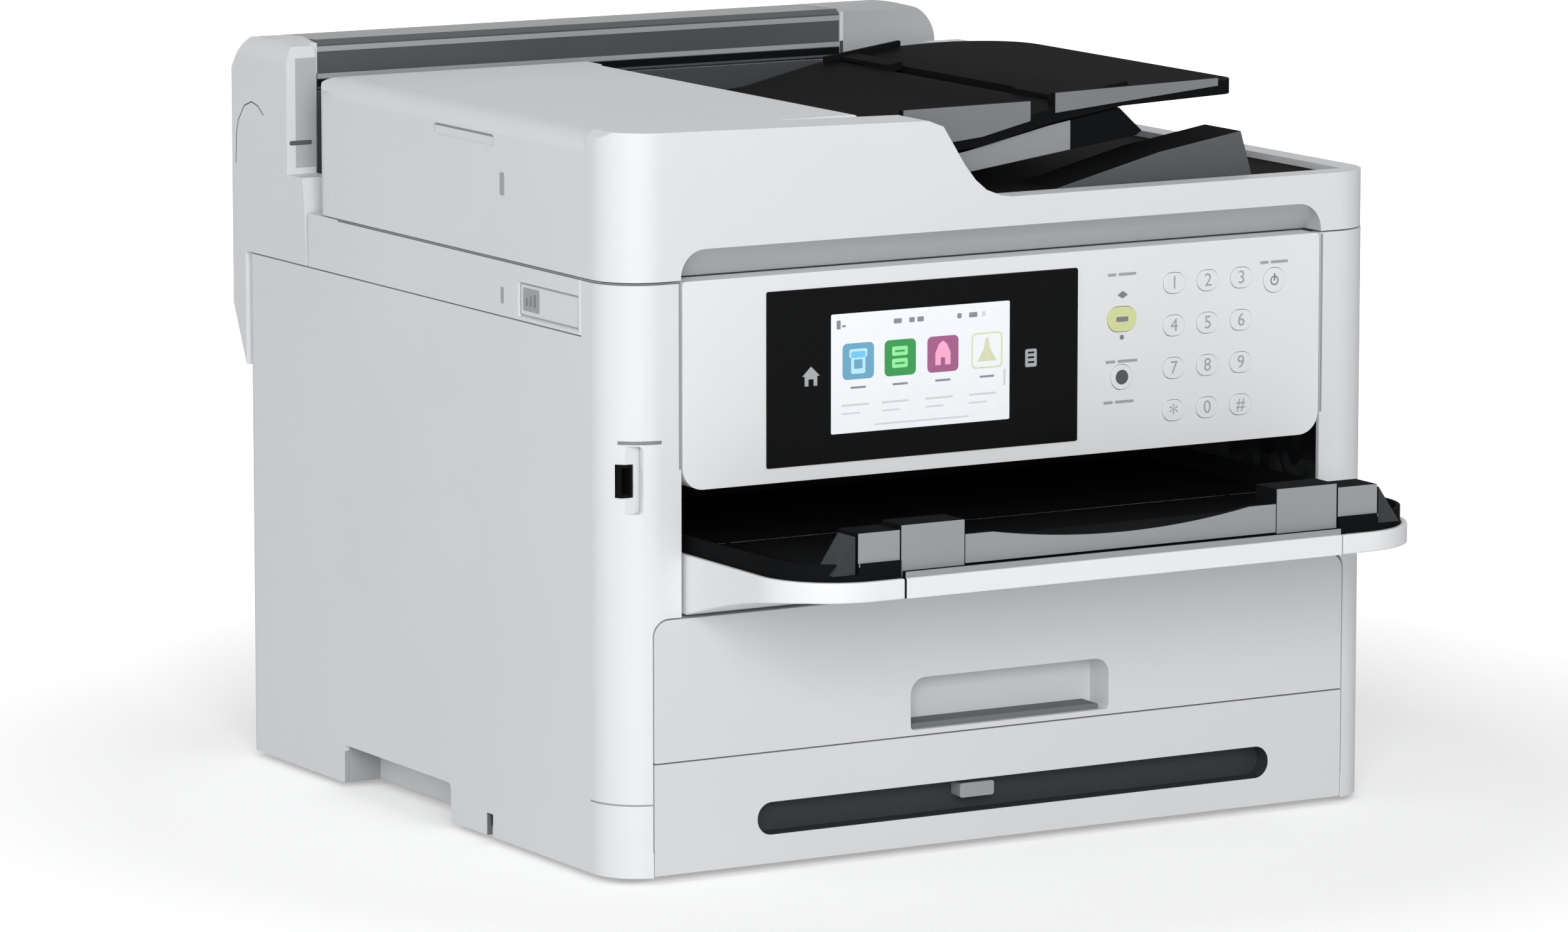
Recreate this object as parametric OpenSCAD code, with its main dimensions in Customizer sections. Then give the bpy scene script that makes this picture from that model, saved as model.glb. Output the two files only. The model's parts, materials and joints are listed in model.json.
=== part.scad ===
// Office inkjet printer with a flatbed scanner, a document feeder, a paper cassette and a rear feeder.
// Millimetres. X runs to the right, Y to the rear, Z up. The origin is under the middle of the whole
// object. Inside the modules Y is counted from the plane of the body's front (see seated()).

/* [Body] */
// Width of the body
body_w = 425; // [400:5:450]
// Depth of the lower body
body_d = 382; // [372:2:400]
// Height of the side covers
side_h = 256; // [250:1:262]
// Height of the front corners, where the document cover begins
deck_h = 284; // [280:1:290]
// Depth of the front corners
pillar_d = 33.5; // [30:0.5:40]
// Radius of the two front corners
front_r = 24; // [18:1:30]
// Radius of the two rear corners
rear_r = 8; // [5:1:12]
// Thickness of the outer covers
wall = 2.5; // [2:0.1:3]
// Gap at a seam between two covers
seam = 0.7; // [0.4:0.05:0.9]
// Height of the rubber feet
foot_h = 3; // [2.5:0.5:5]
// Radius of the rubber feet
foot_r = 10; // [8:1:14]
// Length of the hand grip at each side
grip_l = 112; // [90:2:130]
// Height of the hand grip
grip_h = 19; // [15:1:21]
// Depth of the hand grip
grip_d = 20; // [14:1:24]

/* [Front] */
// Width of the strip beside the control panel
strip_w = 34.5; // [30:0.5:38]
// Width of the strip beside the drawers
drawer_strip = 20; // [16:0.5:24]
// Height of the seam over the ink cover
ink_top = 56.7; // [52:0.1:58]
// Height of the seam over the cassette front
cassette_top = 124.9; // [120:0.1:126]
// Lower edge of the control panel
panel_low = 185; // [180:1:190]
// Thickness of the control panel
panel_t = 14; // [12:0.5:16]

/* [Output tray] */
// How far the tray stands out in front of the body
tray_out = 107; // [90:1:125]
// Radius of its front corners
tray_r = 40; // [30:1:48]
// Height of the tray's rim
tray_rim = 155; // [152:1:158]
// Width of the part that pulls out
extension_w = 240; // [200:2:270]
// Travel of the part that pulls out
extension_travel = 85; // [50:5:95]

/* [Scanner and document feeder] */
// Top of the document feeder
feeder_top = 352; // [346:1:358]
// Height of the low rim round the document bed
bed_rim = 312; // [308:1:318]
// Right edge of the document feeder's cover
feeder_edge = -66; // [-80:1:-55]
// Right end of the document tray
doc_tray_end = 156; // [150:1:190]

/* [Rear] */
// Top of the rear feeder
rear_top = 366; // [362:1:372]
// How far the rear feeder stands out behind the lower body
overhang = 14.5; // [8:0.5:20]
// How far the rear cover stands out behind the lower body
bulge = 46; // [35:1:55]
// Left end of the rear feeder's flap
flap_x0 = -193; // [-195:1:-185]
// Right end of the rear feeder's flap
flap_x1 = 108; // [95:1:112]

/* [Keys] */
// Radius of a number key
key_r = 6; // [5:0.25:7]
// Spacing of the number keys across
key_dx = 19.2; // [17:0.1:21]
// Spacing of the number keys up and down
key_dz = 20.6; // [17:0.1:21]
// How far a key can be pushed
key_travel = 0.8; // [0.5:0.1:1.2]
// How far a key stands out of the panel
key_out = 0.5; // [0.3:0.1:1.2]

/* [Mechanism] */
// Radius of the hinge pins
pin_r = 3; // [2.5:0.25:3.5]
// Radial clearance of a hinge pin in its hole
pin_fit = 0.05; // [0.03:0.01:0.08]
// Running gap between pieces that move past each other
run = 0.4; // [0.3:0.05:0.6]
// Thickness of the sheet-metal frame
sheet = 1.5; // [1.2:0.1:2]
// Width of the widest paper
paper_w = 216; // [210:1:216]
// Radius of the feed roller's rubber
roller_r = 9; // [7:0.5:10]

/* [Hidden] */
$fn = 48;
half_w = body_w / 2;
bay = half_w - strip_w;
drawer = half_w - drawer_strip;
total_d = tray_out + body_d + bulge;
front_y = -total_d / 2 + tray_out;
big = 600;
inner_w = half_w - wall;
frame_x = drawer + 3;
panel_top = deck_h - seam;
grip_y = 166;
pan_t = 4;
pan_z = foot_h + pan_t;
deck_t = sheet;
lower_deck_z = ink_top - 3;
upper_deck_z = cassette_top + 1;
bay_d = 150;
bore_r = pin_r + pin_fit;
hinge_clear = 18;
ink_hinge_y = 6;
ink_hinge_z = 10;
panel_hinge_y = 7;
panel_hinge_z = deck_h - 7;
scan_z = side_h + seam;
scan_rear = body_d - 68;
cover_d = body_d - 75;
scan_hinge_y = scan_rear - 3;
scan_hinge_z = deck_h - 10;
cover_hinge_y = cover_d + 6;
cover_hinge_z = feeder_top - 8;
grey = "#9a9a9a";
black = "#1d1d1f";
white = "#e9e9ea";
steel = "silver";

// ---- Shared shapes ----

module seated() translate([0, front_y, 0]) children();
module box(x0, x1, y0, y1, z0, z1) translate([x0, y0, z0]) cube([x1 - x0, y1 - y0, z1 - z0]);
module both_sides() {
  children();
  mirror([1, 0, 0]) children();
}
module rod_x(x0, x1, y, z, r) translate([x0, y, z]) rotate([0, 90, 0]) cylinder(r = r, h = x1 - x0);
module rod_y(x, y0, y1, z, r) translate([x, y0, z]) rotate([-90, 0, 0]) cylinder(r = r, h = y1 - y0);
module rod_z(x, y, z0, z1, r) translate([x, y, z0]) cylinder(r = r, h = z1 - z0);

// A flat shape in Y and Z, drawn out along X, and one in X and Z, drawn out along Y
module along_x(x0, x1) translate([x0, 0, 0]) rotate([90, 0, 90]) linear_extrude(x1 - x0) children();
module along_y(y0, y1) translate([0, y1, 0]) rotate([90, 0, 0]) linear_extrude(y1 - y0) children();
module along_z(z0, z1) translate([0, 0, z0]) linear_extrude(z1 - z0) children();

// A rectangle with round corners: low left, low right, high right, high left
module pane(x0, x1, y0, y1, radius = 0) {
  r = is_list(radius) ? radius : [radius, radius, radius, radius];
  polygon(concat(
    r[0] > 0 ? [[x0, y0 + r[0]], [x0 + r[0], y0]] : [[x0, y0]],
    r[1] > 0 ? [[x1 - r[1], y0], [x1, y0 + r[1]]] : [[x1, y0]],
    r[2] > 0 ? [[x1, y1 - r[2]], [x1 - r[2], y1]] : [[x1, y1]],
    r[3] > 0 ? [[x0 + r[3], y1], [x0, y1 - r[3]]] : [[x0, y1]]));
  if (r[0] > 0) translate([x0 + r[0], y0 + r[0]]) circle(r[0]);
  if (r[1] > 0) translate([x1 - r[1], y0 + r[1]]) circle(r[1]);
  if (r[2] > 0) translate([x1 - r[2], y1 - r[2]]) circle(r[2]);
  if (r[3] > 0) translate([x0 + r[3], y1 - r[3]]) circle(r[3]);
}

// The body's outline in plan, drawn in by a distance
module body_plan(inset = 0, depth = body_d) {
  f = front_r - inset;
  b = max(rear_r - inset, 1);
  pane(-half_w + inset, half_w - inset, inset, depth - inset, [f, f, b, b]);
}

// ---- Lower body ----

module base_pan() seated() color("#c9cacc") {
  difference() {
    union() {
      difference() {
        along_z(foot_h, pan_z) body_plan(wall + run);
        box(-big, big, -1, hinge_clear, 0, pan_z + 1);
      }
      // Hand grip pockets
      both_sides() box(half_w - grip_d - wall, half_w - wall - run, grip_y - wall,
          grip_y + grip_l + wall,
                       foot_h, foot_h + grip_h + wall);
    }
    both_sides() box(half_w - grip_d, half_w + 1, grip_y, grip_y + grip_l, 0, foot_h + grip_h);
  }
}

foot_x = half_w - 35;
foot_y = [40, body_d - 35];
module rubber_feet() seated() color("#333333")
  for (y = foot_y) both_sides() rod_z(foot_x, y, 0, foot_h, foot_r);

// Corner pillar, side wall and rear wrap of a side cover
rear_wrap = 22;
module side_cover() {
  difference() {
    union() {
      along_z(foot_h, side_h) difference() {
        body_plan();
        body_plan(wall);
        translate([-bay, -1]) square([big, body_d + 2]);
        translate([-half_w + rear_wrap, body_d - wall - 1]) square([big, wall + 2]);
      }
      along_z(side_h - 1, deck_h - seam) difference() {
        body_plan();
        body_plan(wall);
        translate([-bay, -1]) square([big, body_d + 2]);
        translate([-big, pillar_d]) square([2 * big, body_d]);
      }
      // Boss of the control panel's hinge
      rod_x(-bay - 8, -bay, panel_hinge_y, panel_hinge_z, pin_r + 3);
      box(-bay - 8, -bay, wall - 1, panel_hinge_y, panel_hinge_z - pin_r - 3,
          panel_hinge_z + pin_r + 3);
    }
    // Opening of the drawers
    along_y(-1, front_r + 1) pane(-drawer - seam, big, 0, cassette_top + seam, [0, 0, 0, 8]);
    // Hand grip
    along_x(-half_w - 1, -inner_w + 1) pane(grip_y, grip_y + grip_l, 0, foot_h + grip_h, [0, 0, 3, 3]);
    rod_x(-bay - 9, 0, panel_hinge_y, panel_hinge_z, bore_r);
    rod_x(-drawer - 6, 0, ink_hinge_y, ink_hinge_z, bore_r);
  }
  // Boss of the ink cover's hinge
  difference() {
    intersection() {
      along_z(foot_h, ink_hinge_z + 5) body_plan();
      box(-drawer - run - 5, -drawer - run, 0, ink_hinge_y + 5, 0, ink_hinge_z + 5);
    }
    rod_x(-drawer - 6, 0, ink_hinge_y, ink_hinge_z, bore_r);
  }
}
module left_cover() seated() color(white) difference() {
  union() {
    side_cover();
    intersection() {
      along_z(foot_h, side_h) body_plan();
      box(usb_x - 6, usb_x + 9, usb_y, usb_y + wall, usb_z - 17.5, usb_z + 18.5);
    }
  }
  // Pocket round the host socket
  along_y(-1, usb_y) pane(usb_x - 3.7, usb_x + 6.6, usb_z - 15.5, usb_z + 16.5, 2);
  box(-big, 0, grip_y - 43, grip_y - 37, 0, 14);
  box(usb_x - usb_w / 2 - run, usb_x + usb_w / 2 + run, -1, usb_y + 14, usb_z - usb_h / 2 - run,
      usb_z + usb_h / 2 + run);
}
module right_cover() seated() color(white) mirror([1, 0, 0]) side_cover();

// Host socket in the left front corner
usb_x = -half_w + 8.5;
usb_z = 191;
usb_w = 7;
usb_h = 15;
usb_y = 6.2;
module usb_port() seated() color(black) difference() {
  box(usb_x - usb_w / 2, usb_x + usb_w / 2, usb_y, usb_y + 14, usb_z - usb_h / 2, usb_z + usb_h / 2);
  box(usb_x - usb_w / 2 + 1.2, usb_x + usb_w / 2 - 1.2, usb_y - 1, usb_y + 12, usb_z - usb_h / 2 + 1.3,
      usb_z + usb_h / 2 - 1.3);
}

// Rear panel with its openings
inlet_x = -half_w + 62.5;
inlet_z = 157;
inlet_w = 28;
inlet_h = 22;
ports_x = half_w - 66.5;
ports_z = 150;
ports_w = 70;
ports_h = 18;
rear_cover_w = body_w - 125;
rear_cover_z = [46.6, 137];
rear_hinge_z = rear_cover_z[0] + 5.4;
rear_hinge_y = body_d + 6;
module rear_panel() seated() color("#dcdddf") difference() {
  union() {
    box(-half_w + rear_wrap + run, half_w - rear_wrap - run, body_d - wall, body_d, foot_h, side_h);
    both_sides() box(rear_cover_w / 2 + run, rear_cover_w / 2 + 8, body_d - 1, rear_hinge_y + pin_r + 3,
                     rear_hinge_z - pin_r - 3, rear_hinge_z + pin_r + 3);
  }
  box(-rear_cover_w / 2 + 12, rear_cover_w / 2 - 12, 0, big, rear_cover_z[0] + 16, rear_cover_z[1] - 6);
  box(inlet_x - inlet_w / 2, inlet_x + inlet_w / 2, 0, big, inlet_z - inlet_h / 2,
      inlet_z + inlet_h / 2);
  box(ports_x - ports_w / 2, ports_x + ports_w / 2, 0, big, ports_z - ports_h / 2,
      ports_z + ports_h / 2);
  both_sides() rod_x(0, big, rear_hinge_y, rear_hinge_z, bore_r);
  for (p = screw_spots) rod_y(p[0], 0, body_d - wall / 2 + 5, p[1], screw_r + 0.2);
}

// Rear cover over the duplex path, hinged at its foot
module rear_cover() seated() color(white) {
  difference() {
    along_x(-rear_cover_w / 2, rear_cover_w / 2) polygon([
      [body_d + run, rear_hinge_z], [rear_hinge_y - 2, rear_cover_z[0]], [body_d + bulge - 14,
          rear_cover_z[0]],
      [body_d + bulge, rear_cover_z[0] + 16], [body_d + bulge, rear_cover_z[1] - 24],
      [body_d + bulge - 16, rear_cover_z[1]], [body_d + run, rear_cover_z[1]]]);
    box(-rear_cover_w / 2 + wall, rear_cover_w / 2 - wall, body_d, body_d + bulge - 16 - wall,
        rear_cover_z[0] + 12, rear_cover_z[1] - wall);
  }
  both_sides() rod_x(rear_cover_w / 2 - 1, rear_cover_w / 2 + 7, rear_hinge_y, rear_hinge_z, pin_r);
}

screw_r = 1.6;
screw_x = half_w - 47.5;
screw_spots = [[-screw_x, 188], [screw_x, 188], [-screw_x, 30], [screw_x, 30], [-60, 30], [60, 30]];
module screws() seated() color(steel) for (p = screw_spots) {
  rod_y(p[0], body_d - wall - 6, body_d + 0.1, p[1], screw_r);
  rod_y(p[0], body_d, body_d + 2, p[1], 3);
}

// ---- Frame and mechanism ----

rail_y = 214;
rail_z = 222;
path_z = 176;
shaft_r = 4;
roller_y = 206;
module chassis_frame() seated() color("#8f9396") difference() {
  union() {
    both_sides() box(frame_x, frame_x + sheet, 8 + hinge_clear, body_d - 8, pan_z, side_h - 6);
    both_sides() box(frame_x, frame_x + sheet, scan_hinge_y - 5.5, scan_hinge_y + 3.7, side_h - 7,
        scan_hinge_z + 5);
    box(-frame_x, frame_x, 26, body_d - 12, lower_deck_z, lower_deck_z + deck_t);
    box(-frame_x, frame_x, 26, body_d - 50, upper_deck_z, upper_deck_z + deck_t);
    box(-frame_x, frame_x, body_d - 12 - sheet, body_d - 12, upper_deck_z - 20, side_h - 30);
    box(-frame_x, frame_x, 26, 26 + sheet, side_h - 40, side_h - 6);
    // Seats of the rail and of the platen
    both_sides() box(frame_x - 8, frame_x + 1, rail_y, rail_y + 10, rail_z - 12, rail_z - 1);
  }
  both_sides() rod_x(0, big, scan_hinge_y, scan_hinge_z, bore_r);
  both_sides() rod_x(frame_x - 1, big, roller_y, path_z, shaft_r + pin_fit);
  both_sides() box(0, big, grip_y - wall - run, grip_y + grip_l + wall + run, 0,
      foot_h + grip_h + wall + run);
  box(inlet_x - inlet_w / 2, inlet_x + inlet_w / 2, body_d - 40, big, inlet_z - inlet_h / 2,
      inlet_z + inlet_h / 2);
  box(ports_x - ports_w / 2 - 6, ports_x + ports_w / 2 + 14, body_d - 40, big,
      ports_z - ports_h / 2 - 2,
      ports_z + ports_h / 2);
  box(-paper_w / 2 - 6, paper_w / 2 + 6, body_d - 40, big, upper_deck_z - 21, side_h - 60);
}

// Black lining of the bay behind the control panel, with the slot the paper leaves by
module output_bay() seated() color(black) difference() {
  along_x(-bay + run, bay - run) polygon([
    [panel_t + 5, panel_top - 2], [panel_t + 5, panel_low + 4], [panel_t + 12, panel_low + 3],
    [bay_d, panel_low + 14], [bay_d, upper_deck_z + 4], [panel_t + 12, upper_deck_z + 4],
    [panel_t + 12, upper_deck_z + 2], [bay_d + 2, upper_deck_z + 2], [bay_d + 2, panel_low + 16],
    [panel_t + 12, panel_low + 5], [panel_t + 7, panel_low + 6], [panel_t + 7, panel_top - 2]]);
  box(-paper_w / 2 - 4, paper_w / 2 + 4, bay_d - 5, bay_d + 5, path_z - 8, path_z + 10);
}

module guide_rail() seated() color(steel) {
  box(-frame_x + 1, frame_x - 1, rail_y + 2, rail_y + 2 + sheet, rail_z - 1, rail_z + 20);
  box(-frame_x + 1, frame_x - 1, rail_y - 6, rail_y + 10, rail_z - 1, rail_z + 1);
}

module platen() seated() color("#2b2b2d") {
  box(-paper_w / 2 - 10, paper_w / 2 + 10, bay_d + 6, roller_y - roller_r - 4, path_z - 4, path_z - 1);
  for (i = [-6:6]) box(i * 16 - 1, i * 16 + 1, bay_d + 8, roller_y - roller_r - 6, path_z - 1.5,
      path_z);
  both_sides() box(paper_w / 2 - 4, paper_w / 2 + 6, bay_d + 10, bay_d + 20, upper_deck_z + deck_t,
      path_z - 3.5);
}

carriage_w = 96;
carriage_park = 130;
carriage_travel = 260;
module print_carriage() seated() color("#2f3032") difference() {
  union() {
    box(carriage_park - carriage_w / 2, carriage_park + carriage_w / 2, rail_y - 60, rail_y - 17.5,
        path_z + 5, path_z + 50);
    box(carriage_park - carriage_w / 2 + 8, carriage_park + carriage_w / 2 - 8, rail_y - 18,
        rail_y + 2 - run, rail_z + 1 + run, rail_z + 26);
    box(carriage_park - carriage_w / 2 + 8, carriage_park + carriage_w / 2 - 8, rail_y - 8,
        rail_y + 8, rail_z + 20 + run, rail_z + 26);
  }
  box(carriage_park - carriage_w / 2 + 3, carriage_park + carriage_w / 2 - 3, rail_y - 57, rail_y - 20,
      path_z + 20, path_z + 60);
}

module feed_roller() seated() color("#4a4a4a") {
  rod_x(-frame_x - sheet - 6, frame_x + sheet + 6, roller_y, path_z, shaft_r);
  for (x = [-80:40:80]) difference() {
    rod_x(x - 12, x + 12, roller_y, path_z, roller_r);
    rod_x(x - 13, x + 13, roller_y, path_z, shaft_r - 0.1);
  }
  rod_x(frame_x + sheet + 1, frame_x + sheet + 5, roller_y, path_z, 10);
}

module power_supply() seated() color("#b9bcc0")
  box(-frame_x + 1, -paper_w / 2 - 12, 240, body_d - 14 - sheet, upper_deck_z + deck_t, 168);

// Mains inlet with two flat pins in its cavity
module power_inlet() seated() color(black) {
  difference() {
    union() {
      box(inlet_x - inlet_w / 2 + 0.2, inlet_x + inlet_w / 2 - 0.2, body_d - 14, body_d,
          inlet_z - inlet_h / 2 + 0.2, inlet_z + inlet_h / 2 - 0.2);
      box(inlet_x - inlet_w / 2 - 2, inlet_x + inlet_w / 2 + 2, body_d, body_d + 1.2,
          inlet_z - inlet_h / 2 - 2, inlet_z + inlet_h / 2 + 2);
    }
    box(inlet_x - inlet_w / 2 + 3, inlet_x + inlet_w / 2 - 3, body_d - 12, body_d + 5,
        inlet_z - inlet_h / 2 + 3, inlet_z + inlet_h / 2 - 3);
  }
  for (s = [-1, 1]) box(inlet_x + s * 5 - 1, inlet_x + s * 5 + 1, body_d - 13, body_d - 5,
      inlet_z - 2, inlet_z + 2);
}

// Main board with its square printer port, network port and two telephone ports
module main_board() seated() color("#2e6b45") {
  box(ports_x - ports_w / 2 + 8, frame_x - 2, 240, body_d - 14, ports_z - ports_h / 2 - 1.4,
      ports_z - ports_h / 2 + 0.2);
  board_ports();
}
module board_ports() {
  for (p = [[-27, 12, 11], [-8, 16, 14], [11, 12, 12], [27, 12, 12]]) difference() {
    box(ports_x + p[0] - p[1] / 2, ports_x + p[0] + p[1] / 2, body_d - 18, body_d - 0.4,
        ports_z - ports_h / 2, ports_z - ports_h / 2 + p[2]);
    box(ports_x + p[0] - p[1] / 2 + 1.5, ports_x + p[0] + p[1] / 2 - 1.5, body_d - 16, body_d + 1,
        ports_z - ports_h / 2 + 1.6, ports_z - ports_h / 2 + p[2] - 1.6);
  }
}

ink_w = 2 * (drawer - 12);
ink_y = [24, 320];
module ink_tray() seated() color(black) difference() {
  box(-ink_w / 2, ink_w / 2, ink_y[0], ink_y[1], pan_z + 0.2, 40);
  box(-ink_w / 2 + 3, ink_w / 2 - 3, ink_y[0] + 12, ink_y[1] - 3, pan_z + 3.2, 60);
}
module ink_pack() seated() color("#5b5f63")
  along_z(pan_z + 3.4, 36) pane(-ink_w / 2 + 12, ink_w / 2 - 12, ink_y[0] + 20, ink_y[1] - 14, 12);

// ---- Drawer fronts and cassette ----

slot_z = [17.5, 33];
slot_x = [-137, 150];
module ink_cover() seated() color(white) {
  difference() {
    box(-drawer, drawer, 0, panel_t, foot_h + seam, ink_top);
    box(-drawer + wall, drawer - wall, 8, panel_t + 1, slot_z[1] + 3, ink_top - wall);
    along_y(-1, 10) pane(slot_x[0], slot_x[1], slot_z[0], slot_z[1], (slot_z[1] - slot_z[0]) / 2 - 0.2);
    both_sides() box(drawer - 3, drawer + 1, ink_hinge_y - 6.5, panel_t + 1, 0, 1);
    // Relief that lets the top edge turn under the cassette
    along_x(-big, big) polygon([[ink_hinge_y, ink_top], [panel_t + 1, ink_top - 1.7],
      [panel_t + 1, ink_top + 1], [ink_hinge_y, ink_top + 1]]);
  }
  both_sides() rod_x(drawer - 1, drawer + 5, ink_hinge_y, ink_hinge_z, pin_r);
}

handle_x = [-53, 58];
handle_z = [58, 85];
front_t = 20;
tray_side = frame_x - 4;
cassette_y1 = 330;
module cassette_front() seated() color(white) difference() {
  along_y(0, front_t) pane(-drawer, drawer, ink_top + seam, cassette_top, [0, 0, 8, 8]);
  along_y(-1, front_t - wall) pane(handle_x[0], handle_x[1], handle_z[0] + 2, handle_z[1], [2, 2,
      8, 8]);
  box(-drawer + 6, drawer - 6, 6, front_t + 1, handle_z[1] + 6, cassette_top - wall);
}
module cassette_tray() seated() color("#3a3b3d") difference() {
  box(-tray_side, tray_side, front_t, cassette_y1, ink_top + 0.6, 104);
  box(-tray_side + wall, tray_side - wall, front_t + wall, cassette_y1 - wall,
      ink_top + 0.6 + wall, 105);
  // Grooves in which the guides slide
  both_sides() box(paper_w / 2 - 13 - guide_travel, paper_w / 2 + 1, 119.7, 130.3, ink_top + 1.6, 80);
  box(-5.3, 5.3, 216, 310, ink_top + 1.6, 80);
}
cassette_floor = ink_top + 0.6 + wall;
guide_travel = 38;
module side_guide() {
  box(paper_w / 2 + 0.5, paper_w / 2 + 3, 60, 190, cassette_floor + run, 98);
  box(paper_w / 2 - 14, paper_w / 2 + 3, 80, 170, cassette_floor + run, cassette_floor + 2.4);
  box(paper_w / 2 - 12, paper_w / 2, 120, 130, cassette_floor - 1.2, cassette_floor + 1);
}
module guide_left() seated() color(grey) mirror([1, 0, 0]) side_guide();
module guide_right() seated() color(grey) side_guide();
module length_guide() seated() color(grey) {
  box(-26, 26, 302, 305, cassette_floor + run, 92);
  box(-26, 26, 268, 305, cassette_floor + run, cassette_floor + 2.4);
  box(-5, 5, 272, 300, cassette_floor - 1.2, cassette_floor + 1);
}
module lift_plate() seated() color(steel) {
  box(-52, 52, 30, 112, cassette_floor + 2.6, cassette_floor + 4);
  rod_x(-54, 54, 30, cassette_floor + 2.9, 2.5);
}

// ---- Control panel ----

face = 2.5;
panel_w = bay - seam;
module panel_shell() seated() color(white) {
  difference() {
    along_y(0, panel_t) pane(-panel_w, panel_w, panel_low, panel_top, [11, 11, 2, 2]);
    along_y(face, panel_t - face) pane(-panel_w + face, panel_w - face, panel_low + face,
        panel_top - face,
                                       [9, 9, 1, 1]);
    for (k = KEYS) translate([k[0], 0, k[1]]) along_y(-1, face + 1) key_plan(k, 0.25);
    // Seat of the display glass
    along_y(-1, 1) pane(glass_x[0], glass_x[1], glass_z[0], glass_z[1], 1);
  }
  both_sides() rod_x(panel_w - 1, bay + 6, panel_hinge_y, panel_hinge_z, pin_r);
}
glass_x = [-132.4, 39];
glass_z = [192, 275.5];
module panel_glass() seated() color(black)
  along_y(-0.6, 1) pane(glass_x[0] + 0.1, glass_x[1] - 0.1, glass_z[0] + 0.1, glass_z[1] - 0.1, 1);

// Keys: place across, height, half width and half height
pad_x = 112.8;
pad_z = 243;
left_x = 64;
function pad(column, row) = [pad_x + (column - 1) * key_dx, pad_z + (1.5 - row) * key_dz - 9.5,
    key_r, key_r - 1];
START = [left_x, 249, 8, 6];
STOP = [left_x, 221, 6, 6];
POWER = [151, 262, 6, 6];
KEYS = concat([for (row = [0:3]) for (column = [0:2]) pad(column, row)], [START, STOP, POWER]);
module key_plan(k, grow = 0) pane(-k[2] - grow, k[2] + grow, -k[3] - grow, k[3] + grow, min(k[2],
    k[3]) - 0.2 + grow);
module key(k, tint) seated() color(tint) translate([k[0], 0, k[1]]) {
  along_y(-key_out, face + 1.2) key_plan(k);
  along_y(face + 0.2, face + 1.4) key_plan(k, 1.2);
  rod_y(0, face + 1.3, panel_t - face - key_travel - 0.3, 0, 2);
}
module key_1() key(pad(0, 0), white);
module key_2() key(pad(1, 0), white);
module key_3() key(pad(2, 0), white);
module key_4() key(pad(0, 1), white);
module key_5() key(pad(1, 1), white);
module key_6() key(pad(2, 1), white);
module key_7() key(pad(0, 2), white);
module key_8() key(pad(1, 2), white);
module key_9() key(pad(2, 2), white);
module key_star() key(pad(0, 3), white);
module key_0() key(pad(1, 3), white);
module key_hash() key(pad(2, 3), white);
module start_key() key(START, "#dfe8a0");
module stop_key() key(STOP, "#5a5a5c");
module power_key() key(POWER, "#cfd2d4");

// ---- Output tray ----

tray_half = bay - 2;
tray_low = 126.6;
lip_low = 145.5;
skin = 3;
ext_half = extension_w / 2;
floor_z = 149.4;
liner_z = 152.4;
stop_half = 86;
stop_z = 179;
strip_back = 1;
strip_h = 3;
stop_y = [-tray_out + 5, -tray_out + 23];
steps = 8;
function tray_bottom(up = 0) = [for (i = [0:steps]) [-tray_out * i / steps,
  tray_low + up + (lip_low - tray_low) * sin(90 * i / steps)]];
module tray_plan(inset = 0, rear = 24)
  pane(-tray_half + inset, tray_half - inset, -tray_out + inset, rear,
       [tray_r - inset, tray_r - inset, 0, 0]);
module tray_wedge(up, top)
  along_x(-bay, bay) polygon(concat([[30, top], [30, tray_low + up]], tray_bottom(up),
      [[-tray_out - 1, lip_low + up],
                                    [-tray_out - 1, top]]));
module output_tray() seated() color(white) {
  difference() {
    intersection() {
      along_z(tray_low - 1, tray_rim) tray_plan();
      tray_wedge(0, tray_rim + 1);
    }
    intersection() {
      along_z(tray_low - 1, tray_rim + 1) tray_plan(skin, 25);
      tray_wedge(skin, tray_rim + 2);
    }
    box(-ext_half - seam, ext_half + seam, -tray_out - 1, -tray_out + 8, lip_low - 8, big);
  }
  box(-bay + run, bay - run, 4, panel_t + 12, tray_low, tray_low + 2);
}
module tray_liner() seated() color(black) difference() {
  union() {
    difference() {
      along_z(liner_z, tray_rim + 8) tray_plan(skin + 0.4, bay_d);
      along_z(liner_z + 1.6, big) tray_plan(skin + 2.4, bay_d + 1);
    }
    both_sides() box(ext_half + seam, ext_half + 24, stop_y[0], stop_y[1], liner_z + 1, stop_z - 2);
  }
  box(-ext_half - seam, ext_half + seam, -big, stop_y[1] + run, 0, big);
  // The rim is low along the front
  box(-tray_half + 26, -ext_half - 23, -big, -tray_out + 30, tray_rim + 3, big);
  box(ext_half + 23, tray_half - 26, -big, -tray_out + 30, tray_rim + 3, big);
}
module tray_extension() seated() {
  color(white) intersection() {
    along_z(lip_low - 2, tray_rim) tray_plan();
    tray_wedge(0, tray_rim + 1);
    box(-ext_half, ext_half, -tray_out - 1, -tray_out + 7.6, 0, tray_rim);
  }
  // Strip on the lip, set back from its face
  color(grey) box(-ext_half, ext_half, -tray_out + strip_back, stop_y[0] - 1, tray_rim - 1,
      tray_rim + strip_h);
  color(black) box(-ext_half + 6, ext_half - 6, -tray_out + 7, 30, floor_z, liner_z - run);
  color(black) box(-ext_half, ext_half, -tray_out + 7, stop_y[1], floor_z + 1, tray_rim);
  color(grey) both_sides() difference() {
    box(stop_half, ext_half, stop_y[0], stop_y[1], tray_rim - 1, stop_z);
    rod_x(stop_half - 1, stop_half + 6, stop_hinge_y, stop_hinge_z, bore_r - 1);
  }
}
stop_hinge_y = stop_y[0] + 5;
stop_hinge_z = tray_rim + 6;
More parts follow.
